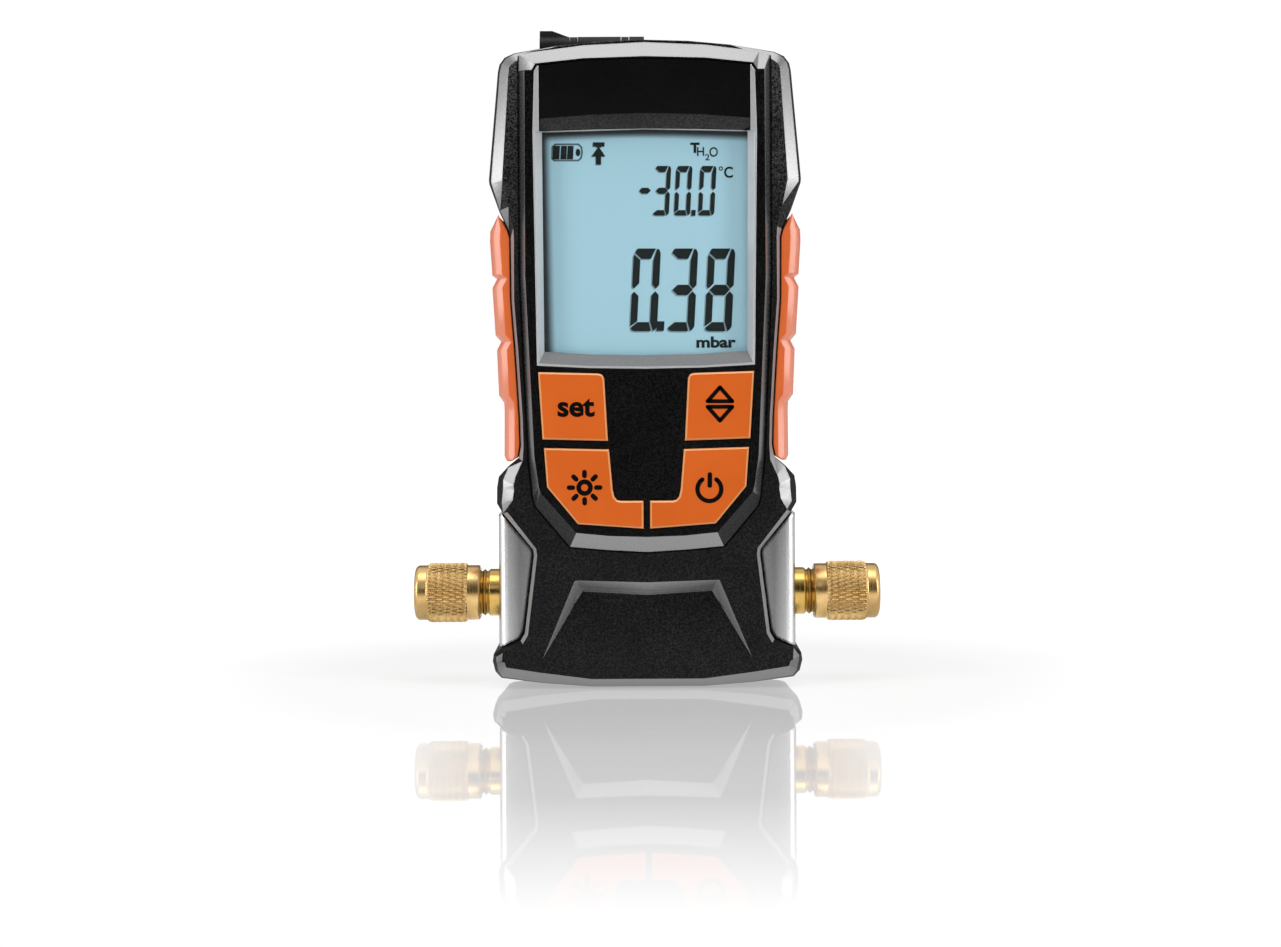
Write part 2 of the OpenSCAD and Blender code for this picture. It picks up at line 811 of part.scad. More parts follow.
module lcd_panel() {
    color([0.64, 0.8, 0.86])
    display_block(lcd_y, lcd_t, lcd_bottom, lcd_top, lcd_w);
}

module backlight_panel() {
    color([0.9, 0.92, 0.92])
    display_block(light_y, light_t, lcd_bottom + zebra_room, lcd_top, lcd_w);
}

module display_connector() {
    color([0.85, 0.4, 0.55])
    display_block(light_y, light_t, lcd_bottom + lay, lcd_bottom + lay + zebra_w, lcd_w - zebra_w);
}

// A key with its bevelled top, the flange behind its edge and the stem that presses its dome
module key(shares, stem_shares) {
    outline = sized(shares);
    union() {
        flat_ended([
            [front_y, drawn_in(outline, same(outline, key_bevel))],
            [front_y + key_bevel, outline],
            [key_base_y + lay, outline]
        ]);
        between(key_base_y, key_base_y + flange_t)
            inside(-key_flange, outline);
        post(stem_shares[0] * half_w, stem_shares[1] * body_h, key_base_y, stem_end_y, stem_d);
    }
}

module key_set() {
    color([0.86, 0.42, 0.14])
    mirror([1, 0, 0])
        key(upper_key_shares, upper_stem_shares);
}

module key_arrows() {
    color([0.86, 0.42, 0.14])
    key(upper_key_shares, upper_stem_shares);
}

module key_light() {
    color([0.86, 0.42, 0.14])
    mirror([1, 0, 0])
        key(lower_key_shares, lower_stem_shares);
}

module key_power() {
    color([0.86, 0.42, 0.14])
    key(lower_key_shares, lower_stem_shares);
}

module at_stems() {
    each_side()
        for (s = [upper_stem_shares, lower_stem_shares])
            translate([s[0] * half_w, 0, s[1] * body_h])
                children();
}

// Silicone mat behind the keys, standing on the board by its rim
module keypad_mat() {
    color([0.35, 0.35, 0.36])
    difference() {
        between(mat_y, board_y - lay)
            mat_outline(mat_gap);
        between(mat_y + mat_t, board_y)
            mat_outline(mat_gap + mat_t);
        at_stems()
            post(0, 0, mat_y - over, board_y, stem_hole_d);
    }
}

module mat_outline(shrink) {
    top = lcd_bottom - mat_gap;
    intersection() {
        difference() {
            inside(ledge_w + shrink, plate_outline);
            at_screw_circles(screw_boss_d + 2 * shrink);
        }
        translate([-half_w, 0])
            square([body_w, top - shrink + mat_gap]);
    }
}

module key_domes() {
    color([0.75, 0.75, 0.72])
    at_stems()
        translate([0, board_y - lay / 2, 0])
            rotate([90, 0, 0])
                rotate_extrude()
                    polygon([[0, 0], [dome_d / 2, 0], [dome_d / 3, dome_h * 2 / 3], [0, dome_h]]);
}

module main_board() {
    color([0.06, 0.3, 0.16])
    difference() {
        union() {
            between(board_y, board_in_y)
                polygon(whole(sized(board_shares)));
            board_chips();
        }
        at_board_holes()
            post(0, 0, board_y - over, board_in_y + over, board_screw_d + 2 * side_gap);
        at_housing_screws()
            post(0, 0, board_y - over, board_in_y + over, screw_boss_d + 2 * boss_gap);
    }
}

// Chips on the back of the board: across, up, width and height as shares
chip_shares = [[0.1, 0.8, 0.33, 0.08], [-0.45, 0.83, 0.22, 0.047], [0.35, 0.62, 0.17, 0.033], [-0.3, 0.66, 0.25, 0.06]];

module board_chips() {
    for (c = chip_shares)
        translate([c[0] * half_w, board_in_y - chip_in, c[1] * body_h])
            cube([c[2] * half_w, chip_h + chip_in, c[3] * body_h]);
}

module board_screws() {
    color([0.7, 0.7, 0.7])
    at_board_holes() {
        post(0, 0, board_y - board_screw_len + over, board_in_y + lay, board_screw_d);
        post(0, 0, board_in_y + lay, board_in_y + lay + board_screw_d * 2 / 3, board_screw_d * 2);
    }
}

module grip() {
    rows = [for (i = [grip_rows[1]:-1:grip_rows[0]]) shell_shares[i]];
    inner = [for (p = sized(rows)) p + [side_gap, 0]];
    outer = sized(grip_outer_shares);
    outline = concat(outer, inner);
    inset = concat([for (s = grip_outer_shares) s[2] * grip_round], [for (p = inner) 0]);
    half_d = grip_d / 2;
    last = len(grip_step_shares) - 1;
    function pulled(share) = [for (i = [0:len(outline) - 1]) outline[i] - [share * inset[i], 0]];
    flat_ended(concat(
        [for (s = grip_step_shares) [grip_round * s[0] - half_d, pulled(s[1])]],
        [for (k = [last:-1:0]) [half_d - grip_round * grip_step_shares[k][0], pulled(grip_step_shares[k][1])]]
    ));
}

module left_grip() {
    color([0.92, 0.45, 0.25])
    mirror([1, 0, 0])
        grip();
}

module right_grip() {
    color([0.92, 0.45, 0.25])
    grip();
}

module side_panel() {
    difference() {
        intersection() {
            between(frame_y, panel_back_y)
                offset(delta = -side_gap)
                    panel_opening(half_w);
            linear_extrude(height = body_h)
                polygon(concat(
                    [for (s = panel_section_shares) [s[0] * panel_x, frame_y + s[1] * panel_step]],
                    [[panel_x, panel_back_y], [half_w / 2, panel_back_y]],
                    [[half_w / 2, frame_y + panel_section_shares[0][1] * panel_step]]
                ));
        }
        translate([0, 0, port_z])
            shaft(0, body_w, thread_d + 2 * side_gap);
    }
}

module left_side_panel() {
    color([0.75, 0.75, 0.76])
    mirror([1, 0, 0])
        side_panel();
}

module right_side_panel() {
    color([0.75, 0.75, 0.76])
    side_panel();
}

module manifold_block() {
    color([0.72, 0.55, 0.25])
    translate([0, 0, port_z])
        difference() {
            translate([-manifold_w / 2, -manifold_d / 2, -manifold_h / 2])
                cube([manifold_w, manifold_d, manifold_h]);
            shaft(-manifold_w, manifold_w, port_bore);
            each_side()
                shaft(port_x - spigot_len - fit, port_x + over, spigot_d + 2 * fit);
            cylinder(h = manifold_h, d = port_bore);
        }
}

module vacuum_sensor() {
    color([0.8, 0.8, 0.82])
    translate([0, 0, port_z + manifold_h / 2]) {
        translate([0, 0, lay])
            cylinder(h = sensor_h, d = sensor_d);
        translate([0, 0, -sensor_pin])
            cylinder(h = sensor_pin + lay, d = port_bore - 2 * lay);
    }
}

module sensor_seal() {
    color([0.1, 0.1, 0.1])
    translate([0, 0, port_z + manifold_h / 2 + sensor_h + 2 * lay])
        difference() {
            cylinder(h = ring_t, d = sensor_d);
            translate([0, 0, -over])
                cylinder(h = ring_t + 2 * over, d = sensor_d - 2 * ring_w);
        }
}

// Flat cable from the top of the sensor to the back of the board
module sensor_cable() {
    foot = cable_foot;
    color([0.8, 0.5, 0.15])
    translate([-cable_w / 2, 0, 0])
        rotate([90, 0, 90])
            linear_extrude(height = cable_w)
                polygon([
                    [0, foot], [cable_t, foot], [cable_t, foot + cable_rise + cable_t],
                    [board_in_y + lay, foot + cable_rise + cable_t], [board_in_y + lay, foot + cable_rise],
                    [0, foot + cable_rise]
                ]);
}

// Port with its spigot, its threaded neck and its flared nose
module port() {
    r = thread_d / 2;
    grooves = [for (x = [panel_x + thread_pitch * 2:thread_pitch:port_end - 3 * thread_pitch]) x];
    flare = r - port_bore / 2 - nose_wall;
    difference() {
        turned(concat(
            [[port_x - spigot_len, 0], [port_x - spigot_len, spigot_d / 2]],
            [[port_x + lay, spigot_d / 2], [port_x + lay, r]],
            [for (x = grooves) each [
                [x, r], [x + thread_pitch / 2, r - thread_cut], [x + thread_pitch / 2 + lay, r - thread_cut]
            ]],
            [[grooves[len(grooves) - 1] + thread_pitch, r], [port_end - flare, r], [port_end, r - flare]],
            [[port_end, 0]]
        ));
        shaft(0, port_end + over, port_bore);
        translate([port_x - spigot_len / 2, 0, 0])
            turned([
                [0, spigot_d / 2 - seal_ring_d / 2], [0, spigot_d], [seal_ring_d, spigot_d],
                [seal_ring_d, spigot_d / 2 - seal_ring_d / 2]
            ]);
    }
}

module left_port() {
    color([0.8, 0.62, 0.3])
    translate([0, 0, port_z])
        mirror([1, 0, 0])
            port();
}

module right_port() {
    color([0.8, 0.62, 0.3])
    translate([0, 0, port_z])
        port();
}

module port_seals() {
    color([0.1, 0.1, 0.1])
    translate([0, 0, port_z])
        each_side()
            translate([port_x - spigot_len / 2 + lay, 0, 0])
                turned([
                    [0, spigot_d / 2 - seal_ring_d / 2 + fit], [0, spigot_d / 2],
                    [seal_ring_d - 2 * lay, spigot_d / 2],
                    [seal_ring_d - 2 * lay, spigot_d / 2 - seal_ring_d / 2 + fit]
                ]);
}

module cap_seal() {
    translate([0, 0, port_z])
        turned([
            [seal_x, 0], [seal_x, thread_d / 2 - cap_clear], [seal_x + cap_seal_t, thread_d / 2 - cap_clear],
            [seal_x + cap_seal_t, 0]
        ]);
}

module left_cap_seal() {
    color([0.12, 0.12, 0.12])
    mirror([1, 0, 0])
        cap_seal();
}

module right_cap_seal() {
    color([0.12, 0.12, 0.12])
    cap_seal();
}

// Cap with a knurled middle, a plain collar at each end and a clear bore over the thread
module cap() {
    r = cap_d / 2;
    c = collar_d / 2;
    bore = thread_d / 2 + cap_clear;
    translate([0, 0, port_z])
        turned([
            [cap_x, bore], [cap_x, c - cap_edge / 2], [cap_x + cap_edge / 2, c], [cap_x + collar_len - cap_step, c],
            [cap_x + collar_len, r - cap_step], [cap_x + collar_len + cap_step, r],
            [cap_end - collar_len - cap_step, r], [cap_end - collar_len, r - cap_step],
            [cap_end - collar_len + cap_step, c], [cap_end - cap_edge * 2, c],
            [cap_end - cap_edge, c - cap_edge / 2], [cap_end, c - cap_edge * 2], [cap_end, 0], [cap_room, 0],
            [cap_room, bore]
        ]);
}

module left_cap() {
    color([0.82, 0.64, 0.32])
    mirror([1, 0, 0])
        cap();
}

module right_cap() {
    color([0.82, 0.64, 0.32])
    cap();
}

module hook_profile() {
    left = hook_right - hook_w;
    arm_x = hook_mid + hook_inner_r;
    outer = hook_inner_r + hook_arm;
    difference() {
        union() {
            translate([left, hook_z - head_h])
                square([hook_w, head_h]);
            translate([arm_x, hook_bend_z])
                square([hook_arm, hook_z - hook_bend_z]);
            translate([hook_mid - outer, hook_bend_z])
                square([hook_arm, tip_rise]);
            translate([hook_mid - outer + hook_arm / 2, hook_bend_z + tip_rise])
                circle(d = hook_arm);
            intersection() {
                translate([hook_mid, hook_bend_z])
                    difference() {
                        circle(r = outer);
                        circle(r = hook_inner_r);
                    }
                translate([hook_mid - outer, hook_bend_z - outer])
                    square([2 * outer, outer]);
            }
        }
        for (x = ears)
            translate([x - ear_gap, hook_z - slot_h])
                square([ear_w + 2 * ear_gap, slot_h + over]);
    }
}

module hanging_hook() {
    color([0.16, 0.16, 0.17])
    difference() {
        union() {
            between(arm_y, arm_y + hook_t)
                hook_profile();
            difference() {
                translate([0, hook_y, hook_z])
                    shaft(hook_right - hook_w, hook_right, 2 * barrel_r);
                for (x = ears)
                    translate([x - ear_gap, hook_y - body_d / 2, hook_z - slot_h])
                        cube([ear_w + 2 * ear_gap, body_d, 2 * slot_h]);
            }
            thumb_tab();
        }
        translate([0, hook_y, hook_z])
            shaft(-body_w, over, pin_d + 2 * run);
    }
}

module thumb_tab() {
    left = hook_right - hook_w;
    top = hook_z + barrel_r + thumb_h;
    between(hook_y - thumb_t / 2, hook_y + thumb_t / 2)
        polygon([
            [left, hook_z], [left + thumb_w + thumb_slope, hook_z],
            [left + thumb_w + thumb_slope, hook_z + barrel_r - lay], [left + thumb_w, top], [left, top]
        ]);
}

module hook_pin() {
    color([0.7, 0.7, 0.72])
    translate([0, hook_y, hook_z])
        shaft(hook_right - hook_w + ear_gap, hook_right - ear_gap, pin_d);
}

// Battery cover with two tabs under the shell at its top and a ribbed thumb grip at its foot
module battery_cover() {
    color([0.08, 0.08, 0.085])
    difference() {
        union() {
            between(back_y - cover_t, back_y)
                cover_outline(0);
            for (side = [-1, 1])
                translate([side * tab_x - tab_w / 2, back_y - cover_t - tab_t / 2, cover_high - tab_len])
                    cube([tab_w, tab_t, 2 * tab_len]);
        }
        for (i = [0:rib_count - 1])
            translate([-rib_len / 2, back_y - rib_h, cover_low + 2 * rib_w * (i + 1)])
                cube([rib_len, rib_h + over, rib_w]);
    }
}

// Battery standing on its flat end, with its nub on top
module cell() {
    cylinder(h = cell_len - nub_h, d = cell_d);
    translate([0, 0, cell_len - nub_h - over])
        cylinder(h = nub_h + over, d = nub_d);
}

module battery_left() {
    color([0.75, 0.3, 0.1])
    translate([-cell_d / 2 - cell_gap / 2, cell_y, cell_low + spring_len])
        cell();
}

module battery_right() {
    color([0.75, 0.3, 0.1])
    translate([cell_d / 2 + cell_gap / 2, cell_y, cell_low + cell_len])
        mirror([0, 0, 1])
            cell();
}

// Coil spring as one tube, standing on zero
module coil() {
    rings = spring_turns * spring_rings;
    coil_r = (spring_d - spring_wire) / 2;
    climb = spring_len - spring_wire - 2 * lay;
    function ring(k) = let (turn = 360 * k / spring_rings, up = spring_wire / 2 + lay + climb * k / rings) [
        for (s = [0:spring_sides - 1])
            let (a = 360 * s / spring_sides, out = coil_r + spring_wire / 2 * cos(a))
                [out * cos(turn), out * sin(turn), up + spring_wire / 2 * sin(a)]
    ];
    last = rings * spring_sides;
    polyhedron(
        points = [for (k = [0:rings]) each ring(k)],
        faces = concat(
            [[for (s = [0:spring_sides - 1]) s]],
            [for (k = [0:rings - 1]) for (s = [0:spring_sides - 1])
                let (a = k * spring_sides, t = (s + 1) % spring_sides)
                    each [[a + s, a + spring_sides + s, a + spring_sides + t], [a + s, a + spring_sides + t, a + t]]],
            [[for (s = [spring_sides - 1:-1:0]) last + s]]
        )
    );
}

module battery_springs() {
    color([0.8, 0.8, 0.8])
    {
        translate([-cell_d / 2 - cell_gap / 2, cell_y, cell_low])
            coil();
        translate([cell_d / 2 + cell_gap / 2, cell_y, cell_low + cell_len])
            coil();
    }
}

module battery_contacts() {
    w = cell_d - 4 * cell_gap;
    color([0.8, 0.8, 0.78])
    {
        for (side = [-1, 1])
            translate([side * (cell_d / 2 + cell_gap / 2) - w / 2, cell_y - w / 2, bay_z + lay])
                cube([w, w, contact_t]);
        translate([-cell_d, cell_y - w / 2, bay_top - lay - contact_t])
            cube([2 * cell_d, w, contact_t]);
    }
}

module housing_screws() {
    head_y = back_y - screw_head_h - wall + lay;
    color([0.5, 0.5, 0.52])
    at_housing_screws() {
        post(0, 0, -screw_reach + over, head_y, screw_d);
        post(0, 0, head_y, head_y + screw_head_h, screw_head_d);
    }
}

module housing_seal() {
    color([0.15, 0.15, 0.15])
    between(-seal_t / 2 + fit, seal_t / 2 - fit)
        difference() {
            inside(wall / 4, shell_outline);
            inside(wall, shell_outline);
            for (side = [0, 1])
                mirror([side, 0])
                    translate([half_w / 2, port_z - thread_d / 2 - side_gap])
                        square([half_w, thread_d + 2 * side_gap]);
        }
}

front_shell();
rear_shell();
face_plate();
display_frame();
label_plate();
display_lens();
lcd_panel();
backlight_panel();
display_connector();
key_set();
key_arrows();
key_light();
key_power();
keypad_mat();
key_domes();
main_board();
board_screws();
left_grip();
right_grip();
left_side_panel();
right_side_panel();
manifold_block();
vacuum_sensor();
sensor_seal();
sensor_cable();
left_port();
right_port();
port_seals();
left_cap_seal();
right_cap_seal();
left_cap();
right_cap();
hanging_hook();
hook_pin();
battery_cover();
battery_left();
battery_right();
battery_springs();
battery_contacts();
housing_screws();
housing_seal();
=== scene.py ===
"""Looks of the digital vacuum gauge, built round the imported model.

Sizes and places are in metres, as in the frame. X runs to the right, Y to the back and Z up.
Places of signs were read off two enlarged crops of the photograph, in pixels of each crop.
"""

import json
import math

import bmesh
import bpy
from mathutils import Matrix, Vector


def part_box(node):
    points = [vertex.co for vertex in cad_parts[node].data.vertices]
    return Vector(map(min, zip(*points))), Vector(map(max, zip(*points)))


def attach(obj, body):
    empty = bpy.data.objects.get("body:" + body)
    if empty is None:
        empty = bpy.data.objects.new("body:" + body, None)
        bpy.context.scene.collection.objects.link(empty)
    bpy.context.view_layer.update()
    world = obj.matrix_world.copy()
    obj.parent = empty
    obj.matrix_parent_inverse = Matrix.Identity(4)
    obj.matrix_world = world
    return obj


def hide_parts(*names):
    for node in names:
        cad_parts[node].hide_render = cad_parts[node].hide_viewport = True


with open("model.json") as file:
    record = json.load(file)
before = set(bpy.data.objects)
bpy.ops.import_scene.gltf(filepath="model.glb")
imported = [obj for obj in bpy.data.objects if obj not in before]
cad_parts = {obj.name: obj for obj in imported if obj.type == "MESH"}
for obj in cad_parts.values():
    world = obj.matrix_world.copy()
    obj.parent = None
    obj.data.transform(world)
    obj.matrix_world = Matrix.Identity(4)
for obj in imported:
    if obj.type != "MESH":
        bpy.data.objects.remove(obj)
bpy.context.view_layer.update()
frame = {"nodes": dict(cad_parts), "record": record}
nodes = frame["nodes"]

MM = 0.001


# Camera, fitted to the photograph

PHOTO_W = 1281
PHOTO_H = 947
FOCAL = 66.8
SENSOR = 36.0
EYE = Vector((-1.26, -562.0, 75.0)) * MM
ROLL = math.radians(0.317)
SHIFT_Y = -0.0863
CLIP_NEAR = 0.01
CLIP_FAR = 50
PIXELS_PER_SLOPE = PHOTO_W * FOCAL / SENSOR


def make_camera():
    data = bpy.data.cameras.new("photo_camera")
    data.lens = FOCAL
    data.sensor_width = SENSOR
    data.shift_y = SHIFT_Y
    data.clip_start = CLIP_NEAR
    data.clip_end = CLIP_FAR
    cam = bpy.data.objects.new("photo_camera", data)
    bpy.context.scene.collection.objects.link(cam)
    upright = Matrix.Rotation(math.radians(90), 4, "X")
    cam.matrix_world = Matrix.Translation(EYE) @ upright @ Matrix.Rotation(-ROLL, 4, "Z")
    bpy.context.scene.camera = cam


def spot(px, py, y):
    """Place (x, z) of a pixel of the photograph on the plane at depth y."""
    right = px - PHOTO_W / 2
    up = PHOTO_H / 2 - py + SHIFT_Y * PHOTO_W
    size = (y - EYE.y) / PIXELS_PER_SLOPE
    c, s = math.cos(ROLL), math.sin(ROLL)
    return EYE.x + size * (right * c + up * s), EYE.z + size * (up * c - right * s)


def crop_places(corner, zoom, plane):
    """A function from the pixels of an enlarged crop of the photograph to places (x, z) on a plane."""
    return lambda x, y: spot(corner[0] + x / zoom, corner[1] + y / zoom, plane)


make_camera()


# Shader nodes

# Sockets of the Mix node for colours, whose names its other kinds share
MIX_FACTOR, MIX_A, MIX_B, MIX_RESULT = 0, 6, 7, 2
# Range that most of a noise lies in
NOISE_LOW, NOISE_HIGH = 0.3, 0.7
BEVEL_SAMPLES = 6


def fill(tree, n, inputs):
    """Sets a node's inputs, by name or number, to plain values, or links them to outputs."""
    for key, value in inputs.items():
        socket = n.inputs[key]
        if isinstance(value, bpy.types.NodeSocket):
            tree.links.new(value, socket)
        elif socket.type == "RGBA":
            socket.default_value = (*value, 1)
        else:
            socket.default_value = value


def add(tree, kind, inputs=None, **properties):
    """A new node with its properties and inputs set."""
    n = tree.nodes.new(kind)
    for key, value in properties.items():
        setattr(n, key, value)
    fill(tree, n, inputs or {})
    return n


def new_material(name):
    m = bpy.data.materials.new(name)
    m.use_nodes = True
    tree = m.node_tree
    tree.nodes.clear()
    bsdf = add(tree, "ShaderNodeBsdfPrincipled")
    add(tree, "ShaderNodeOutputMaterial", {"Surface": bsdf.outputs["BSDF"]})
    return m, tree, bsdf


def coordinates(tree, kind="Object"):
    return add(tree, "ShaderNodeTexCoord").outputs[kind]


def axes(tree, place):
    """X, Y and Z of a place or a direction."""
    return add(tree, "ShaderNodeSeparateXYZ", {0: place}).outputs


def noise(tree, scale, detail=3.0, roughness=0.6, stretch=(1, 1, 1)):
    mapping = add(tree, "ShaderNodeMapping", {"Vector": coordinates(tree), "Scale": stretch})
    inputs = {"Vector": mapping.outputs["Vector"], "Scale": scale, "Detail": detail, "Roughness": roughness}
    return add(tree, "ShaderNodeTexNoise", inputs).outputs["Fac"]


def ramp(tree, value, start, end, first, last, **properties):
    """Runs from first to last while the value runs from start to end, and stays there outside."""
    inputs = {"Value": value, "From Min": start, "From Max": end, "To Min": first, "To Max": last}
    return add(tree, "ShaderNodeMapRange", inputs, clamp=True, **properties).outputs["Result"]


def spread(tree, fac, first=0, last=1):
    """The middle range of a noise, stretched to run from first to last."""
    return ramp(tree, fac, NOISE_LOW, NOISE_HIGH, first, last)


def uneven(tree, fac, rough, less, more):
    """A roughness that varies with a noise, from less below the plain one to more above it."""
    return spread(tree, fac, rough - less, rough + more)


def maths(tree, operation, *values):
    return add(tree, "ShaderNodeMath", dict(enumerate(values)), operation=operation).outputs["Value"]


def times(tree, a, b):
    return maths(tree, "MULTIPLY", a, b)


def mix(tree, fac, a, b):
    """A colour between two."""
    inputs = {MIX_FACTOR: fac, MIX_A: a, MIX_B: b}
    return add(tree, "ShaderNodeMix", inputs, data_type="RGBA").outputs[MIX_RESULT]


def scaled(tree, colour, factor):
    return add(tree, "ShaderNodeVectorMath", {0: colour, "Scale": factor}, operation="SCALE").outputs[0]


def finish_normal(tree, bsdf, height, distance, strength, edge=0.0):
    """Bump by a height, over edges that are rounded in shading."""
    bump = {"Height": height, "Distance": distance, "Strength": strength}
    if edge:
        bevel = add(tree, "ShaderNodeBevel", {"Radius": edge}, samples=BEVEL_SAMPLES)
        bump["Normal"] = bevel.outputs["Normal"]
    fill(tree, bsdf, {"Normal": add(tree, "ShaderNodeBump", bump).outputs["Normal"]})


# Kinds of material

# Grain of the black plastic: range of the noise over which it pales, and the least weight of its patches
PIT_START, PIT_END = 0.42, 0.64
LEAST_PATCH = 0.55
# Heights between which the housing's grain gets paler towards the top: painted light from above
TOP_LIGHT_START, TOP_LIGHT_END = 85 * MM, 145 * MM


def grained(name, dark, light, rough, specular, strength, edge=0.22 * MM, painted_top_light=1.0):
    """Black plastic with the fine pits of a spark-eroded mould. Towards the top its colour rises to the given
    factor times itself, a painted light from above.
    """
    m, tree, bsdf = new_material(name)
    pits = noise(tree, scale=2500, detail=2.0, roughness=0.7)
    broad = noise(tree, scale=90)
    speck = ramp(tree, pits, PIT_START, PIT_END, 0, 1)
    shade = mix(tree, times(tree, speck, spread(tree, broad, first=LEAST_PATCH)), dark, light)
    if painted_top_light != 1.0:
        z = axes(tree, coordinates(tree))["Z"]
        shade = scaled(tree, shade, ramp(tree, z, TOP_LIGHT_START, TOP_LIGHT_END, 1.0, painted_top_light))
    fill(tree, bsdf, {
        "Base Color": shade,
        "Roughness": uneven(tree, broad, rough, less=0.03, more=0.03),
        "Specular IOR Level": specular,
    })
    finish_normal(tree, bsdf, pits, 0.12 * MM, strength, edge)
    return m


def polished(name, rough, coat_ior):
    """Black plastic from a polished mould: a soft mirror with faint flow marks."""
    m, tree, bsdf = new_material(name)
    fine = noise(tree, scale=2600, detail=2.0)
    flow = spread(tree, noise(tree, scale=140))
    fill(tree, bsdf, {
        "Base Color": mix(tree, flow, (0.010, 0.010, 0.0105), (0.014, 0.014, 0.0145)),
        "Roughness": uneven(tree, fine, rough, less=0.03, more=0.03),
        "Coat Weight": 1.0,
        "Coat Roughness": rough,
        "Coat IOR": coat_ior,
    })
    finish_normal(tree, bsdf, fine, distance=0.02 * MM, strength=0.25, edge=0.8 * MM)
    return m


def soft_plastic(name, dark, light, rough, specular=0.5, grain=0.15, edge=0.3 * MM, coat=0.0):
    """Coloured plastic or silicone with a faint grain."""
    m, tree, bsdf = new_material(name)
    fine = noise(tree, scale=1800, detail=2.0)
    fill(tree, bsdf, {
        "Base Color": mix(tree, spread(tree, noise(tree, scale=60, detail=2.0)), dark, light),
        "Roughness": uneven(tree, fine, rough, less=0.04, more=0.04),
        "Specular IOR Level": specular,
        "Coat Weight": coat,
        "Coat Roughness": 0.2,
    })
    finish_normal(tree, bsdf, fine, 0.06 * MM, grain, edge)
    return m


def silver(name, dark, light, rough, metallic, edge=0.2 * MM):
    """Silver paint with a fine metallic flake."""
    m, tree, bsdf = new_material(name)
    flake = noise(tree, scale=5200, detail=1.0)
    fill(tree, bsdf, {
        "Base Color": mix(tree, spread(tree, flake), dark, light),
        "Roughness": uneven(tree, noise(tree, scale=900), rough, less=0.05, more=0.05),
        "Metallic": metallic,
    })
    finish_normal(tree, bsdf, flake, 0.01 * MM, 0.1, edge)
    return m


def silver_with_painted_sheen(name, shades, rough):
    """Satin silver with a painted highlight and painted reflection: its shade runs with the distance from the
    middle, in pairs of distance in mm and shade.
    """
    m, tree, bsdf = new_material(name)
    beside = maths(tree, "ABSOLUTE", axes(tree, coordinates(tree))["X"])
    first, last = shades[0][0], shades[-1][0]
    stops = add(tree, "ShaderNodeValToRGB", {"Fac": ramp(tree, beside, first * MM, last * MM, 0, 1)})
    marks = stops.color_ramp.elements
    for i, (x, shade) in enumerate(shades):
        share = (x - first) / (last - first)
        mark = marks[i] if i < 2 else marks.new(share)
        mark.position = share
        mark.color = (shade, shade, shade * 1.015, 1)
    grain = noise(tree, scale=1, detail=2.0, stretch=(3000, 3000, 300))
    fill(tree, bsdf, {
        "Base Color": stops.outputs["Color"],
        "Roughness": uneven(tree, grain, rough, less=0.04, more=0.04),
        "Metallic": 0.95,
    })
    finish_normal(tree, bsdf, grain, distance=0.01 * MM, strength=0.1, edge=1 * MM)
    return m


def turned_brass(name, dark, light, rough):
    """Brass turned about the line across the housing: fine rings and a little tarnish."""
    m, tree, bsdf = new_material(name)
    rings = noise(tree, scale=1, stretch=(9000, 60, 60))
    fill(tree, bsdf, {
        "Base Color": mix(tree, spread(tree, noise(tree, scale=260, detail=4.0)), dark, light),
        "Roughness": uneven(tree, rings, rough, less=0.06, more=0.08),
        "Metallic": 1.0,
    })
    finish_normal(tree, bsdf, rings, distance=0.02 * MM, strength=0.5, edge=0.15 * MM)
    return m


def metal(name, colour, rough):
    """Drawn metal with fine scratches."""
    m, tree, bsdf = new_material(name)
    scratch = noise(tree, scale=1, stretch=(400, 400, 4000))
    fill(tree, bsdf, {
        "Base Color": mix(tree, scratch, [c * 0.85 for c in colour], colour),
        "Roughness": uneven(tree, scratch, rough, less=0.05, more=0.08),
        "Metallic": 1.0,
    })
    finish_normal(tree, bsdf, scratch, distance=0.02 * MM, strength=0.3, edge=0.1 * MM)
    return m


def rubber(name, dark, light, rough=0.7):
    m, tree, bsdf = new_material(name)
    fine = noise(tree, scale=1500)
    fill(tree, bsdf, {"Base Color": mix(tree, fine, dark, light), "Roughness": rough})
    finish_normal(tree, bsdf, fine, distance=0.05 * MM, strength=0.4)
    return m


def window_clear(name):
    """Clear window with faint smears."""
    m, tree, bsdf = new_material(name)
    fill(tree, bsdf, {
        "Base Color": (0.03, 0.035, 0.04),
        "Roughness": spread(tree, noise(tree, scale=40, detail=2.0), first=0.04, last=0.1),
        "Alpha": 0.035,
    })
    m.surface_render_method = "BLENDED"
    return m


def from_edge(tree, p, q, wide):
    """0 to 1 over a width from a line through two places (x, z), towards its right going from p to q."""
    dx, dz = q[0] - p[0], q[1] - p[1]
    long = math.hypot(dx, dz)
    to_right = (dz / long, 0, -dx / long)
    dot = add(tree, "ShaderNodeVectorMath", {0: coordinates(tree), 1: to_right}, operation="DOT_PRODUCT")
    start = (p[0] * dz - p[1] * dx) / long
    return ramp(tree, dot.outputs["Value"], start, start + wide, 0, 1, interpolation_type="SMOOTHSTEP")


def display_glass(name, dark, light, shade, edges):
    """Display glass, shaded under the edges of its window."""
    m, tree, bsdf = new_material(name)
    plain = mix(tree, noise(tree, scale=25, detail=2.0), dark, light)
    lit = 1.0
    for edge in edges:
        lit = times(tree, from_edge(tree, *edge), lit)
    fill(tree, bsdf, {
        "Base Color": mix(tree, lit, shade, plain),
        "Roughness": spread(tree, noise(tree, scale=3000, detail=1.0), first=0.4, last=0.5),
        "Specular IOR Level": 0.3,
    })
    return m


def ink(name, dark, light, rough=0.5, specular=0.2):
    m, tree, bsdf = new_material(name)
    fill(tree, bsdf, {
        "Base Color": mix(tree, noise(tree, scale=2500, detail=2.0), dark, light),
        "Roughness": rough,
        "Specular IOR Level": specular,
    })
    return m


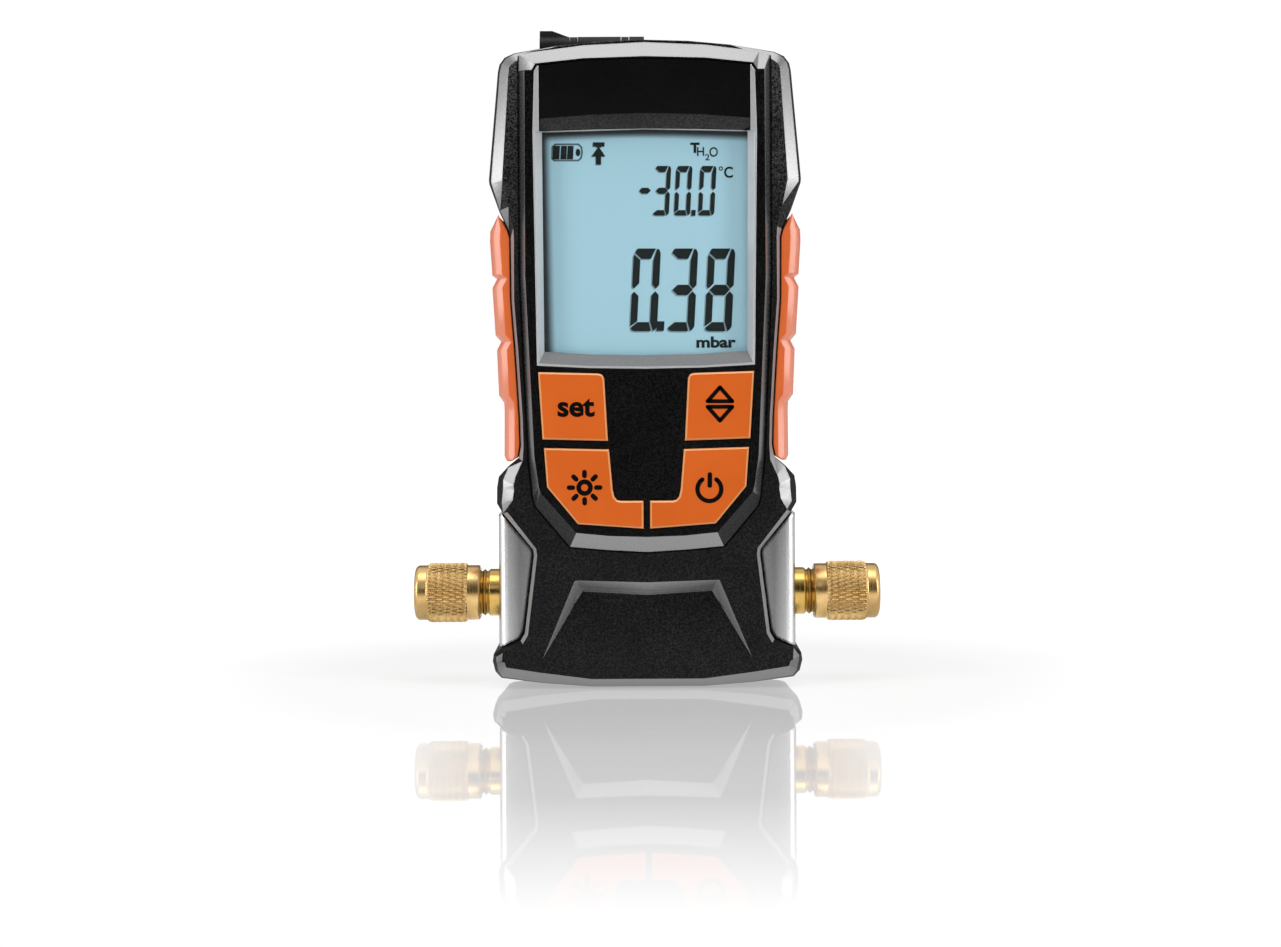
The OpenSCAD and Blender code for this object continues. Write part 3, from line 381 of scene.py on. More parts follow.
def board(name):
    """Green solder mask over copper lines."""
    m, tree, bsdf = new_material(name)
    lines = ramp(tree, noise(tree, scale=420, detail=1.0), 0.48, 0.52, 0, 1)
    fill(tree, bsdf, {
        "Base Color": mix(tree, lines, (0.01, 0.09, 0.04), (0.02, 0.16, 0.07)),
        "Roughness": 0.35,
    })
    return m


# Materials of the housing

# The housing's grain pales towards the top with painted light from above
HOUSING = grained(
    "housing_grain", (0.0001, 0.0001, 0.0002), (0.0240, 0.0240, 0.0245),
    rough=0.46, specular=0.14, strength=0.5, painted_top_light=5.6,
)
FACE = grained(
    "face_grain", (0.0001, 0.0001, 0.0002), (0.0135, 0.0135, 0.0140),
    rough=0.42, specular=0.07, strength=0.3,
)
# Paler grain for slopes that face down and aside: painted light
SLOPE_PAINTED_LIGHT = grained(
    "slope_grain_painted_light", (0.0060, 0.0060, 0.0065), (0.0400, 0.0400, 0.0410),
    rough=0.5, specular=0.3, strength=0.5,
)
LABEL = grained(
    "label_satin", (0.0030, 0.0030, 0.0032), (0.0055, 0.0055, 0.0060),
    rough=0.38, specular=0.07, strength=0.06, edge=0.1 * MM,
)
SATIN = grained(
    "side_grain", (0.0010, 0.0010, 0.0012), (0.0120, 0.0120, 0.0125),
    rough=0.5, specular=0.12, strength=0.3, edge=0.5 * MM,
)
HOOK = grained(
    "hook_grain", (0.006, 0.006, 0.0065), (0.022, 0.022, 0.0225),
    rough=0.5, specular=0.2, strength=0.3, edge=0.3 * MM,
)
POLISHED = polished("edge_polished", rough=0.26, coat_ior=2.3)
FOOT = polished("foot_polished", rough=0.30, coat_ior=2.05)
# Pale silver on the black shell's rim faces: a painted highlight
RIM_PAINTED_HIGHLIGHT = silver(
    "rim_painted_highlight", (0.30, 0.30, 0.305), (0.38, 0.38, 0.385),
    rough=0.4, metallic=0.3, edge=0.1 * MM,
)
FRAME = silver("display_silver", (0.58, 0.585, 0.595), (0.66, 0.665, 0.675), rough=0.42, metallic=0.6)
# A darker copy of the display silver for the frame's upward faces: painted shade
FRAME_PAINTED_SHADE = silver(
    "display_silver_painted_shade", (0.13, 0.134, 0.138), (0.19, 0.195, 0.20), rough=0.5, metallic=0.2,
)
# Painted highlight along the panels' outer ridge, fading to a darker painted reflection inwards: distance in
# mm and shade
PANEL_PAINTED_SHEEN = ((26.5, 0.34), (29.5, 0.24), (32.0, 0.45), (33.1, 0.95), (34.4, 0.50))
PANEL = silver_with_painted_sheen("panel_silver", PANEL_PAINTED_SHEEN, rough=0.29)


# Materials of the keys, grips, fittings and inner pieces

KEYS = soft_plastic(
    "key_orange", (0.72, 0.131, 0.014), (0.78, 0.146, 0.018),
    rough=0.42, specular=0.12, grain=0.1, edge=0.1 * MM,
)
# Paler orange on the keys' bevels: a painted highlight
KEY_PAINTED_HIGHLIGHT = soft_plastic(
    "key_orange_painted_highlight", (0.86, 0.34, 0.10), (0.92, 0.38, 0.12),
    rough=0.3, grain=0.05, edge=0.2 * MM, coat=0.6,
)
GRIP = soft_plastic(
    "grip_orange", (0.93, 0.175, 0.036), (0.98, 0.195, 0.044),
    rough=0.40, specular=0.3, grain=0.08, edge=0.4 * MM,
)
# Paler, pinker orange on the grips' outer slanted faces: a painted highlight
GRIP_PAINTED_HIGHLIGHT = soft_plastic(
    "grip_orange_painted_highlight", (0.88, 0.24, 0.12), (0.92, 0.27, 0.14),
    rough=0.34, grain=0.08, edge=0.6 * MM, coat=0.5,
)
BRASS = turned_brass("cap_brass", (0.55, 0.35, 0.130), (0.68, 0.46, 0.20), rough=0.28)
PORT = turned_brass("port_brass", (0.50, 0.32, 0.085), (0.64, 0.42, 0.13), rough=0.22)
STEEL = metal("steel", (0.56, 0.56, 0.55), rough=0.35)
DARK_STEEL = metal("steel_blackened", (0.02, 0.02, 0.021), rough=0.5)
SEAL = rubber("seal_rubber", (0.01, 0.01, 0.01), (0.02, 0.02, 0.02))
MAT = rubber("mat_silicone", (0.06, 0.06, 0.06), (0.1, 0.1, 0.1), rough=0.6)
CELL = soft_plastic("cell_sleeve", (0.45, 0.09, 0.02), (0.5, 0.11, 0.03), rough=0.35, grain=0.05)
GUIDE = soft_plastic("light_guide", (0.7, 0.72, 0.72), (0.8, 0.82, 0.82), rough=0.4)
ZEBRA = soft_plastic("connector_strip", (0.5, 0.15, 0.25), (0.6, 0.2, 0.3), rough=0.5)
FLEX = soft_plastic("cable_film", (0.4, 0.16, 0.02), (0.5, 0.2, 0.03), rough=0.3)
BOARD = board("board_green")
WINDOW = window_clear("window_clear")


# Materials of the display and of the signs

GLASS_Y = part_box("lcd_panel")[0].y
# Edges of the window that throw a shade, in pixels of the photograph from end to end, and the shade's width
SHADED_EDGES_PX = (
    ((547.5, 350), (542, 136), 2.3 * MM),
    ((540, 135), (640, 130.5), 2.0 * MM),
    ((640, 130.5), (740, 134), 2.0 * MM),
)
WINDOW_EDGES = [(spot(*p, GLASS_Y), spot(*q, GLASS_Y), wide) for p, q, wide in SHADED_EDGES_PX]
LCD = display_glass(
    "display_blue", dark=(0.45, 0.75, 0.875), light=(0.47, 0.77, 0.895), shade=(0.045, 0.055, 0.06),
    edges=WINDOW_EDGES,
)
SEGMENT = ink("segment_black", (0.010, 0.016, 0.016), (0.014, 0.021, 0.021))
# Painted shadow of the signs on the glass
SHADE = ink("segment_shade", (0.225, 0.36, 0.41), (0.245, 0.385, 0.435))
OUTLINE = ink("segment_outline", (0.10, 0.175, 0.20), (0.12, 0.20, 0.225))
KEY_INK = ink("key_ink", (0.002, 0.002, 0.002), (0.005, 0.005, 0.005), rough=0.45, specular=0.04)


# Finishes of the CAD nodes that show as they are

FINISHES = {
    "display_lens": WINDOW, "lcd_panel": LCD, "backlight_panel": GUIDE, "display_connector": ZEBRA,
    "keypad_mat": MAT, "key_domes": STEEL, "main_board": BOARD, "board_screws": STEEL, "manifold_block": PORT,
    "vacuum_sensor": STEEL, "sensor_seal": SEAL, "sensor_cable": FLEX, "left_port": PORT, "right_port": PORT,
    "port_seals": SEAL, "left_cap_seal": SEAL, "right_cap_seal": SEAL, "left_cap": BRASS, "right_cap": BRASS,
    "hook_pin": DARK_STEEL, "battery_left": CELL, "battery_right": CELL, "battery_springs": STEEL,
    "battery_contacts": STEEL, "housing_screws": STEEL, "housing_seal": SEAL,
}


def finish_nodes():
    for name, node in nodes.items():
        node.data.materials.clear()
        node.data.materials.append(FINISHES.get(name, HOUSING))


# Finishes of the skins, picked for each face by its normal n and its middle

# A face is flat or bevelled when its normal lies at least so far along Y
FLAT = 0.955
BEVEL = 0.6
# Front shell: heights of the foot, the lower bumpers' tops and the shoulders' ends, and how far the rims
# by the grips and panels, pale with a painted highlight, go out and up
FOOT_TOP = 9 * MM
BUMPER_LOW, BUMPER_HIGH = 46 * MM, 54 * MM
RIM_REACH = 31.5 * MM
RIM_TOP = 112 * MM
SHOULDER_LOW, SHOULDER_HIGH = 105 * MM, 115 * MM
# Rear shell: what stands above this height has the hook's finish
HOOK_FINISH_FROM = 150.2 * MM
# How far a normal has to lean, as its least share along an axis
FOOT_DOWN = 0.3
BUMPER_UP = 0.1
SHOULDER_ASIDE = 0.55
RIM_FRONT = 0.2
GRIP_ASIDE, GRIP_FRONT = 0.3, 0.25
PLATE_FRONT = 0.25
SLOPE_DOWN, SLOPE_ASIDE = 0.2, 0.25
LABEL_FLAT = 0.99
KEY_FRONT = 0.2
FRAME_UP = 0.3


def one(material):
    return lambda n, middle: material


def moulded(n, middle):
    """Grain on the flats, polish on the bevels and satin round the sides."""
    return HOUSING if abs(n.y) > FLAT else POLISHED if abs(n.y) > BEVEL else SATIN


def shell_faces(n, middle):
    """As moulded, but for the foot, the bumpers' tops, the rims pale with a painted highlight and the
    shoulders' ends.
    """
    frontal = n.y < -BEVEL
    on_foot = middle.z < FOOT_TOP and n.z < -FOOT_DOWN
    on_bumper = BUMPER_LOW < middle.z < BUMPER_HIGH and n.z > BUMPER_UP
    if frontal and (on_foot or on_bumper):
        return FOOT
    sideways = abs(n.x) > BEVEL and -BEVEL < n.y < -RIM_FRONT
    if sideways and abs(middle.x) < RIM_REACH and middle.z < RIM_TOP:
        return RIM_PAINTED_HIGHLIGHT
    if abs(n.x) > SHOULDER_ASIDE and frontal and SHOULDER_LOW < middle.z < SHOULDER_HIGH:
        return HOUSING
    return moulded(n, middle)


def rear_faces(n, middle):
    return HOOK if middle.z > HOOK_FINISH_FROM else moulded(n, middle)


def grip_faces(n, middle):
    return GRIP_PAINTED_HIGHLIGHT if abs(n.x) > GRIP_ASIDE and n.y < -GRIP_FRONT else GRIP


def plate_faces(n, middle):
    """Satin sides, slopes that face down and aside made pale with painted light, a grained face and polished
    bevels.
    """
    if n.y > -PLATE_FRONT:
        return SATIN
    if n.z < -SLOPE_DOWN and abs(n.x) > SLOPE_ASIDE:
        return SLOPE_PAINTED_LIGHT
    return FACE if n.y < -FLAT else POLISHED


# The label's slopes take the paler grain with painted light
def label_faces(n, middle):
    return LABEL if abs(n.y) > LABEL_FLAT else SLOPE_PAINTED_LIGHT


def key_faces(n, middle):
    return KEY_PAINTED_HIGHLIGHT if -FLAT < n.y < -KEY_FRONT else KEYS


# The frame's upward faces get the darker silver, a painted shade
def frame_faces(n, middle):
    return FRAME_PAINTED_SHADE if n.z > FRAME_UP else FRAME


SKINS = {
    "front_shell": shell_faces, "rear_shell": rear_faces, "battery_cover": moulded, "face_plate": plate_faces,
    "label_plate": label_faces, "display_frame": frame_faces, "key_set": key_faces, "key_arrows": key_faces,
    "key_light": key_faces, "key_power": key_faces, "left_grip": grip_faces, "right_grip": grip_faces,
    "left_side_panel": one(PANEL), "right_side_panel": one(PANEL), "hanging_hook": one(HOOK),
}


# Making of pieces

# Corners nearer than this are joined, edges shorter than this go, and edges bent less than this are smooth
WELD = 0.002 * MM
SLIVER = 0.001 * MM
CREASE = math.radians(24)


def in_scene(name, mesh, body):
    """A new object that rides on a body."""
    obj = bpy.data.objects.new(name, mesh)
    bpy.context.scene.collection.objects.link(obj)
    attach(obj, body)
    return obj


def flat_piece(name, mesh, material, body):
    mesh.materials.append(material)
    for p in mesh.polygons:
        p.use_smooth = False
    return in_scene(name, mesh, body)


def skin(node, pick):
    """The node's own surface with rounded facets shaded as one, and a finish picked for each face."""
    source = nodes[node].data
    bm = bmesh.new()
    corners = [bm.verts.new(v.co) for v in source.vertices]
    for p in source.polygons:
        try:
            bm.faces.new([corners[v] for v in p.vertices])
        except ValueError:
            continue
    bmesh.ops.remove_doubles(bm, verts=bm.verts, dist=WELD)
    bmesh.ops.dissolve_degenerate(bm, edges=bm.edges, dist=SLIVER)
    bm.normal_update()
    finishes = []
    for f in bm.faces:
        material = pick(f.normal, f.calc_center_median())
        if material not in finishes:
            finishes.append(material)
        f.material_index = finishes.index(material)
        f.smooth = True
    for e in bm.edges:
        e.smooth = len(e.link_faces) == 2 and e.calc_face_angle(math.pi) < CREASE
    mesh = bpy.data.meshes.new(node + "_skin")
    bm.to_mesh(mesh)
    bm.free()
    for material in finishes:
        mesh.materials.append(material)
    record = frame["record"]
    body = next(b for b, its in record["behaviour"]["bodies"].items() if node in its)
    obj = in_scene(node + "_skin", mesh, body)
    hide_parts(node)


def plates(name, outlines, y, thick, material, body, slot):
    """Flat signs: closed outlines of (x, z), each raised from y by its thickness towards the front."""
    bm = bmesh.new()
    for outline in outlines:
        back = [bm.verts.new((x, y, z)) for x, z in outline]
        front = [bm.verts.new((x, y - thick, z)) for x, z in outline]
        n = len(outline)
        bm.faces.new(front)
        bm.faces.new(back[::-1])
        for i in range(n):
            bm.faces.new((front[i], back[i], back[(i + 1) % n], front[(i + 1) % n]))
    bmesh.ops.recalc_face_normals(bm, faces=bm.faces)
    bmesh.ops.triangulate(bm, faces=[f for f in bm.faces if len(f.verts) > 4])
    mesh = bpy.data.meshes.new(name)
    bm.to_mesh(mesh)
    bm.free()
    flat_piece(name, mesh, material, body)


def around(centre, radius, degrees):
    turn = math.radians(degrees)
    return centre[0] + radius * math.cos(turn), centre[1] + radius * math.sin(turn)


def arc_pieces(centre, outer, inner, start, end, steps):
    """A ring or an arc as a row of four-cornered outlines."""
    marks = [start + (end - start) * i / steps for i in range(steps + 1)]
    return [
        [around(centre, r, turn) for r, turn in ((outer, a), (outer, b), (inner, b), (inner, a))]
        for a, b in zip(marks, marks[1:])
    ]


def bar(p, q, width, steps):
    """A straight stroke with round ends, each of so many steps."""
    along = math.degrees(math.atan2(q[1] - p[1], q[0] - p[0]))
    return [
        around(end, width / 2, first + 180 * i / steps)
        for end, first in ((q, along - 90), (p, along + 90))
        for i in range(steps + 1)
    ]


def shifted(outlines, move):
    return [[(x + move, z + move) for x, z in outline] for outline in outlines]


def words(name, text, low_left, high_right, bold, y, thick, material, body, slot):
    """Plain letters from Blender's own font, fitted between two corners (x, z)."""
    data = bpy.data.curves.new(name + "_letters", "FONT")
    data.body = text
    data.size = 1.0
    data.offset = bold
    data.extrude = 0.5
    data.resolution_u = 6
    obj = bpy.data.objects.new(name + "_letters", data)
    bpy.context.scene.collection.objects.link(obj)
    bpy.context.view_layer.update()
    mesh = bpy.data.meshes.new_from_object(obj.evaluated_get(bpy.context.evaluated_depsgraph_get()))
    bpy.data.objects.remove(obj)
    bpy.data.curves.remove(data)
    xs = [v.co.x for v in mesh.vertices]
    ys = [v.co.y for v in mesh.vertices]
    left, low = low_left
    wide = (high_right[0] - left) / (max(xs) - min(xs))
    tall = (high_right[1] - low) / (max(ys) - min(ys))
    for v in mesh.vertices:
        across = left + (v.co.x - min(xs)) * wide
        v.co = Vector((across, y - thick * (v.co.z + 0.5), low + (v.co.y - min(ys)) * tall))
    mesh.materials.clear()
    bm = bmesh.new()
    bm.from_mesh(mesh)
    bmesh.ops.recalc_face_normals(bm, faces=bm.faces)
    bm.to_mesh(mesh)
    bm.free()
    flat_piece(name, mesh, material, body)


# Signs of the display, in pixels of a crop that is enlarged from its corner in the photograph

# The crop: its corner in the photograph, and how many times it is enlarged
DISPLAY_CORNER = (540, 130)
DISPLAY_ZOOM = 1432 / 210
# How far before the glass the signs lie and how thick they are, and the same for what lies under them
SIGN_GAP, SIGN_THICK = 0.012 * MM, 0.03 * MM
UNDER_GAP, UNDER_THICK = 0.001 * MM, 0.004 * MM
SIGN_Y = GLASS_Y - SIGN_GAP
SIGN = {"y": SIGN_Y, "thick": SIGN_THICK, "material": SEGMENT, "body": "housing", "slot": "lcd"}
UNDER = {"y": GLASS_Y - UNDER_GAP, "thick": UNDER_THICK, "body": "housing", "slot": "lcd"}
on_display = crop_places(DISPLAY_CORNER, DISPLAY_ZOOM, SIGN_Y)

# Segments of a digit, 184 pixels wide and 564 tall before its slant
DIGIT_H = 564
SLANT = 0.05
SEGMENTS = {
    "a": [(8, 30), (22, 2), (34, 0), (150, 0), (119, 71), (53, 71)],
    "f": [(0, 40), (47, 80), (47, 238), (16, 271), (6, 268), (0, 254)],
    "b": [(158, 0), (174, 8), (184, 34), (184, 250), (161, 274), (136, 244), (136, 82)],
    "g": [(20, 282), (56, 247), (128, 247), (160, 281), (128, 318), (58, 318)],
    "e": [(0, 312), (15, 294), (47, 324), (47, 496), (0, 530)],
    "c": [(159, 291), (184, 318), (184, 530), (172, 552), (156, 563), (134, 500), (134, 320)],
    "d": [(2, 540), (48, 502), (126, 502), (143, 564), (32, 564), (12, 558)],
}
DIGITS = {"0": "abcdef", "3": "abcdg", "8": "abcdefg"}

# Lower number: its digits with their left edges, and its point as a box and its slant
BIG_DIGITS = (("0", 613), ("3", 867), ("8", 1121))
BIG_TOP = 808
BIG_POINT = (793, 1304, 845, 1370)
BIG_POINT_SLANT = 4
# Upper number, the same, and its minus
SMALL_DIGITS = (("3", 768), ("0", 913), ("0", 1077))
SMALL_TOP = 245
SMALL_SCALE = 0.6
SMALL_POINT = (1031, 545, 1060, 585)
SMALL_POINT_SLANT = 2
MINUS = ((675, 414), (694, 394), (738, 394), (756, 413), (736, 434), (694, 434))
# Arrow up to a bar
ARROW_BAR = (361, 84, 440, 113)
ARROW_NECK = (382, 113, 418, 119)
ARROW_HEAD = ((400, 112), (350, 181), (446, 181))
ARROW_STEM = (381, 178, 417, 237)
# Battery: left and right ends of its three bars, their top and bottom, how far the ends are moved at the
# top and at the bottom, its nub, and the line round it
BATTERY_BARS = ((87, 134), (139, 182), (184, 227))
BATTERY_TOP, BATTERY_BOTTOM = 108, 200
TOP_MOVES = (5, 2)
BOTTOM_MOVES = (-1, -2)
NUB_MIDDLE = (259, 154)
NUB_W, NUB_H = 16, 26
NUB_STEPS = 16
CASE = (
    (104, 98), (262, 98), (282, 118), (287, 154), (280, 190), (262, 208), (98, 208), (82, 196), (84, 118),
)
CASE_LINE = 0.42 * MM
CASE_STEPS = 4
# Painted shadows of the signs on the glass: how far they are moved along both axes
SHADE_MOVES = {"big": -0.30 * MM, "small": -0.22 * MM, "arrow": -0.18 * MM}
# Letters: name, text, left, right, base, top, and how much bolder than the font
LETTERS = (
    ("display_unit_low", "mbar", 1066, 1337, 1486, 1408, 0.036),
    ("display_unit_high", "C", 1255, 1316, 327, 250, 0.022),
    ("display_sign_t", "T", 1025, 1088, 157, 86, 0.045),
    ("display_sign_h", "H", 1071, 1119, 177, 117, 0.012),
    ("display_sign_two", "2", 1125, 1157, 207, 165, 0.012),
    ("display_sign_o", "O", 1155, 1213, 183, 117, 0.012),
)
DEGREE_MIDDLE = (1233, 263)
DEGREE_OUTER, DEGREE_INNER = 0.50 * MM, 0.26 * MM
DEGREE_STEPS = 24


def digit(figure, left, top, scale=1):
    """The segments of a figure, slanted about their foot."""
    return [
        [
            on_display(left + px * scale + (DIGIT_H - py) * scale * SLANT, top + py * scale)
            for px, py in SEGMENTS[segment]
        ]
        for segment in DIGITS[figure]
    ]


def box_at(box, slant=0):
    x0, y0, x1, y1 = box
    return [on_display(x, y) for x, y in ((x0 + slant, y0), (x1 + slant, y0), (x1, y1), (x0, y1))]


def outline_at(points):
    return [on_display(x, y) for x, y in points]


def battery_bars():
    """Bars that lean a little, and the nub."""
    bars = []
    for left, right in BATTERY_BARS:
        top = [(left + TOP_MOVES[0], BATTERY_TOP), (right + TOP_MOVES[1], BATTERY_TOP)]
        bottom = [(right + BOTTOM_MOVES[1], BATTERY_BOTTOM), (left + BOTTOM_MOVES[0], BATTERY_BOTTOM)]
        bars.append(outline_at(top + bottom))
    turns = [math.tau * i / NUB_STEPS for i in range(NUB_STEPS)]
    nub = [(NUB_MIDDLE[0] + NUB_W * math.cos(t), NUB_MIDDLE[1] + NUB_H * math.sin(t)) for t in turns]
    return bars + [outline_at(nub)]


def display_signs():
    big = [o for figure, left in BIG_DIGITS for o in digit(figure, left, BIG_TOP)]
    big.append(box_at(BIG_POINT, BIG_POINT_SLANT))
    small = [o for figure, left in SMALL_DIGITS for o in digit(figure, left, SMALL_TOP, SMALL_SCALE)]
    small += [box_at(SMALL_POINT, SMALL_POINT_SLANT), outline_at(MINUS)]
    arrow = [box_at(ARROW_BAR), box_at(ARROW_NECK), outline_at(ARROW_HEAD), box_at(ARROW_STEM)]
    corners = outline_at(CASE)
    case = [bar(p, q, CASE_LINE, CASE_STEPS) for p, q in zip(corners, corners[1:] + corners[:1])]
    plates("display_digits_big", big, **SIGN)
    plates("display_digits_small", small, **SIGN)
    plates("display_arrow", arrow, **SIGN)
    plates("display_battery", battery_bars(), **SIGN)
    plates("display_battery_case", case, material=OUTLINE, **UNDER)
    for name, outlines in (("big", big), ("small", small), ("arrow", arrow)):
        plates(f"display_shade_{name}", shifted(outlines, SHADE_MOVES[name]), material=SHADE, **UNDER)
    for name, text, left, right, base, top, bold in LETTERS:
        high_right = (on_display(right, base)[0], on_display(left, top)[1])
        words(name, text, on_display(left, base), high_right, bold, **SIGN)
    ring = arc_pieces(on_display(*DEGREE_MIDDLE), DEGREE_OUTER, DEGREE_INNER, 0, 360, DEGREE_STEPS)
    plates("display_degree", ring, **SIGN)


# Signs of the keys, in pixels of a second crop

# The crop: its corner in the photograph, and how many times it is enlarged
KEYS_CORNER = (530, 360)
KEYS_ZOOM = 1568 / 230
KEY_SIGN_THICK = 0.04 * MM
KEY_TOP_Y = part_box("key_power")[0].y
KEY_SIGN = {"y": KEY_TOP_Y, "thick": KEY_SIGN_THICK, "material": KEY_INK, "slot": "key_orange"}
on_keys = crop_places(KEYS_CORNER, KEYS_ZOOM, KEY_TOP_Y)
# Width of a pixel of the crop on the keys
KEY_PX = on_keys(1, 0)[0] - on_keys(0, 0)[0]
STROKE_STEPS = 6
# The word "set": ends, base and top, and how much bolder than the font
SET_LEFT, SET_RIGHT = 188, 441
SET_BASE, SET_TOP = 389, 262
SET_BOLD = 0.030
# Two hollow triangles: heights of tip and base, middle and ends of the base, line
TRIANGLES = ((186, 281), (413, 319))
TRIANGLE_MIDDLE = 1295
TRIANGLE_ENDS = (1211, 1379)
TRIANGLE_LINE = 27
# Sun: middle, ring, rays
SUN = (372, 870)
SUN_OUTER, SUN_INNER = 56, 24
SUN_STEPS = 36
RAYS = 8
RAY_START, RAY_END = 80, 106
RAY_LINE = 32
# Power sign: middle, ring with its gap at the top in degrees, stem
POWER = (1223, 880)
POWER_OUTER, POWER_INNER = 96, 66
POWER_START, POWER_END = 126, 414
POWER_STEPS = 48
STEM = ((1226, 780), (1226, 856))
STEM_LINE = 31


def set_sign():
    low_left = on_keys(SET_LEFT, SET_BASE)
    high_right = (on_keys(SET_RIGHT, SET_BASE)[0], on_keys(SET_LEFT, SET_TOP)[1])
    words("sign_set", "set", low_left, high_right, SET_BOLD, body="key_set", **KEY_SIGN)


def arrows_sign():
    strokes = []
    for tip, base in TRIANGLES:
        corners = [on_keys(TRIANGLE_MIDDLE, tip)] + [on_keys(x, base) for x in TRIANGLE_ENDS]
        for p, q in zip(corners, corners[1:] + corners[:1]):
            strokes.append(bar(p, q, TRIANGLE_LINE * KEY_PX, STROKE_STEPS))
    plates("sign_arrows", strokes, body="key_arrows", **KEY_SIGN)


def light_sign():
    sun = on_keys(*SUN)
    ring = arc_pieces(sun, SUN_OUTER * KEY_PX, SUN_INNER * KEY_PX, 0, 360, SUN_STEPS)
    rays = []
    for i in range(RAYS):
        ends = [around(sun, r * KEY_PX, 360 * i / RAYS) for r in (RAY_START, RAY_END)]
        rays.append(bar(*ends, RAY_LINE * KEY_PX, STROKE_STEPS))
    plates("sign_light", ring + rays, body="key_light", **KEY_SIGN)


def power_sign():
    """An open ring with round ends, and a stem in its gap."""
    power = on_keys(*POWER)
    arc = arc_pieces(power, POWER_OUTER * KEY_PX, POWER_INNER * KEY_PX, POWER_START, POWER_END, POWER_STEPS)
    middle = (POWER_OUTER + POWER_INNER) / 2 * KEY_PX
    line = (POWER_OUTER - POWER_INNER) * KEY_PX
    ends = [
        bar(around(power, middle, end), around(power, middle, end + inwards), line, STROKE_STEPS)
        for end, inwards in ((POWER_START, 1), (POWER_END, -1))
    ]
    stem = bar(*[on_keys(*p) for p in STEM], STEM_LINE * KEY_PX, STROKE_STEPS)
    plates("sign_power", arc + ends + [stem], body="key_power", **KEY_SIGN)


# Caps with their knurl

COLLAR_R = 6.45 * MM
COLLAR_LEN = 3.1 * MM
BORE_R = 5.755 * MM
BORE_DEPTH = 9.0 * MM
# Chamfer of the bore at the mouth
CHAMFER_LEN, CHAMFER_OUT = 0.2 * MM, 0.15 * MM
# Crossed grooves of the knurl: how many each way, length for one step from groove to groove, depth
KNURL_STARTS = 40
KNURL_LEAD = 3.16 * MM
KNURL_DEPTH = 0.42 * MM
KNURL_ROWS = 34
POINTS_PER_START = 8
# Rows over which the knurl rises from its collar, and the share of the step that it starts with
RISE_ROWS = 1.6
FIRST_STEP = 0.35
# How many times steeper the flanks are than those of pointed diamonds, which leaves a flat top
FLANK = 1.45
# Slack in telling which faces lie on the knurl
KNURL_SLACK = 0.01 * MM
# Rounded parts of the section in mm: along from the mouth, the knurl or the end, and out from the collar
MOUTH_LIP = ((0, -0.35), (0.1, -0.12), (0.35, 0))
KNURL_FOOT = ((0.35, 0), (0.12, 0.02))
END_ROUND = ((-1.1, 0), (-0.7, -0.12), (-0.35, -0.4), (-0.1, -0.85), (0, -1.35))
# Dished end: how deep halfway and in the middle, and how far out halfway is
DISH_HALFWAY = 0.12 * MM
DISH_MIDDLE = 0.15 * MM
DISH_SHARE = 0.45


def section_part(start, direction, steps):
    """Rows (along, radius, knurl) without knurl, from a place along and steps in mm."""
    return [(start + direction * along * MM, COLLAR_R + out * MM, 0) for along, out in steps]


def cap_section(mouth, end, radius):
    """Rows of a cap from the bottom of its bore, over its mouth and knurl, to the middle of its end."""
    first, last = mouth + COLLAR_LEN, end - COLLAR_LEN
    rows = [(mouth + BORE_DEPTH, 0.0, 0), (mouth + BORE_DEPTH, BORE_R, 0)]
    rows += [(mouth + CHAMFER_LEN, BORE_R, 0), (mouth, BORE_R + CHAMFER_OUT, 0)]
    rows += section_part(mouth, 1, MOUTH_LIP)
    rows += section_part(first, -1, KNURL_FOOT)
    for i in range(KNURL_ROWS + 1):
        rise = min(1.0, min(i, KNURL_ROWS - i) / RISE_ROWS)
        step = (radius - COLLAR_R) * (FIRST_STEP + (1 - FIRST_STEP) * rise)
        rows.append((first + (last - first) * i / KNURL_ROWS, COLLAR_R + step, rise))
    rows += section_part(last, 1, KNURL_FOOT[::-1])
    rows += section_part(end, 1, END_ROUND)
    return rows + [(end - DISH_HALFWAY, COLLAR_R * DISH_SHARE, 0), (end - DISH_MIDDLE, 0.0, 0)]


def groove(turn, along):
    """Depth of the crossed grooves at a share of a turn and a place along the knurl, as a share."""
    def height(phase):
        return abs(2 * (phase % 1.0) - 1)

    either_way = [height(turn * KNURL_STARTS + way * along / KNURL_LEAD) for way in (1, -1)]
    return 1 - min(1.0, min(either_way) * FLANK)


def turned_mesh(name, rows, first, side, z):
    """A mesh of rows turned about the line through the caps, with the knurl cut into it."""
    count = KNURL_STARTS * POINTS_PER_START
    verts, faces, loops = [], [], []
    for along, radius, knurl in rows:
        if radius == 0.0:
            loops.append([len(verts)] * count)
            verts.append((side * along, 0, z))
            continue
        loops.append(range(len(verts), len(verts) + count))
        for k in range(count):
            cut = KNURL_DEPTH * knurl * groove(k / count, along - first) if knurl else 0.0
            turn = math.tau * k / count
            verts.append((side * along, (radius - cut) * math.sin(turn), z + (radius - cut) * math.cos(turn)))
    for a, b in zip(loops, loops[1:]):
        for k in range(count):
            j = (k + 1) % count
            faces.append(list(dict.fromkeys((a[k], a[j], b[j], b[k]))))
    mesh = bpy.data.meshes.new(name)
    mesh.from_pydata(verts, [], faces)
    bm = bmesh.new()
    bm.from_mesh(mesh)
    bmesh.ops.recalc_face_normals(bm, faces=bm.faces)
    bm.to_mesh(mesh)
    bm.free()
    return mesh


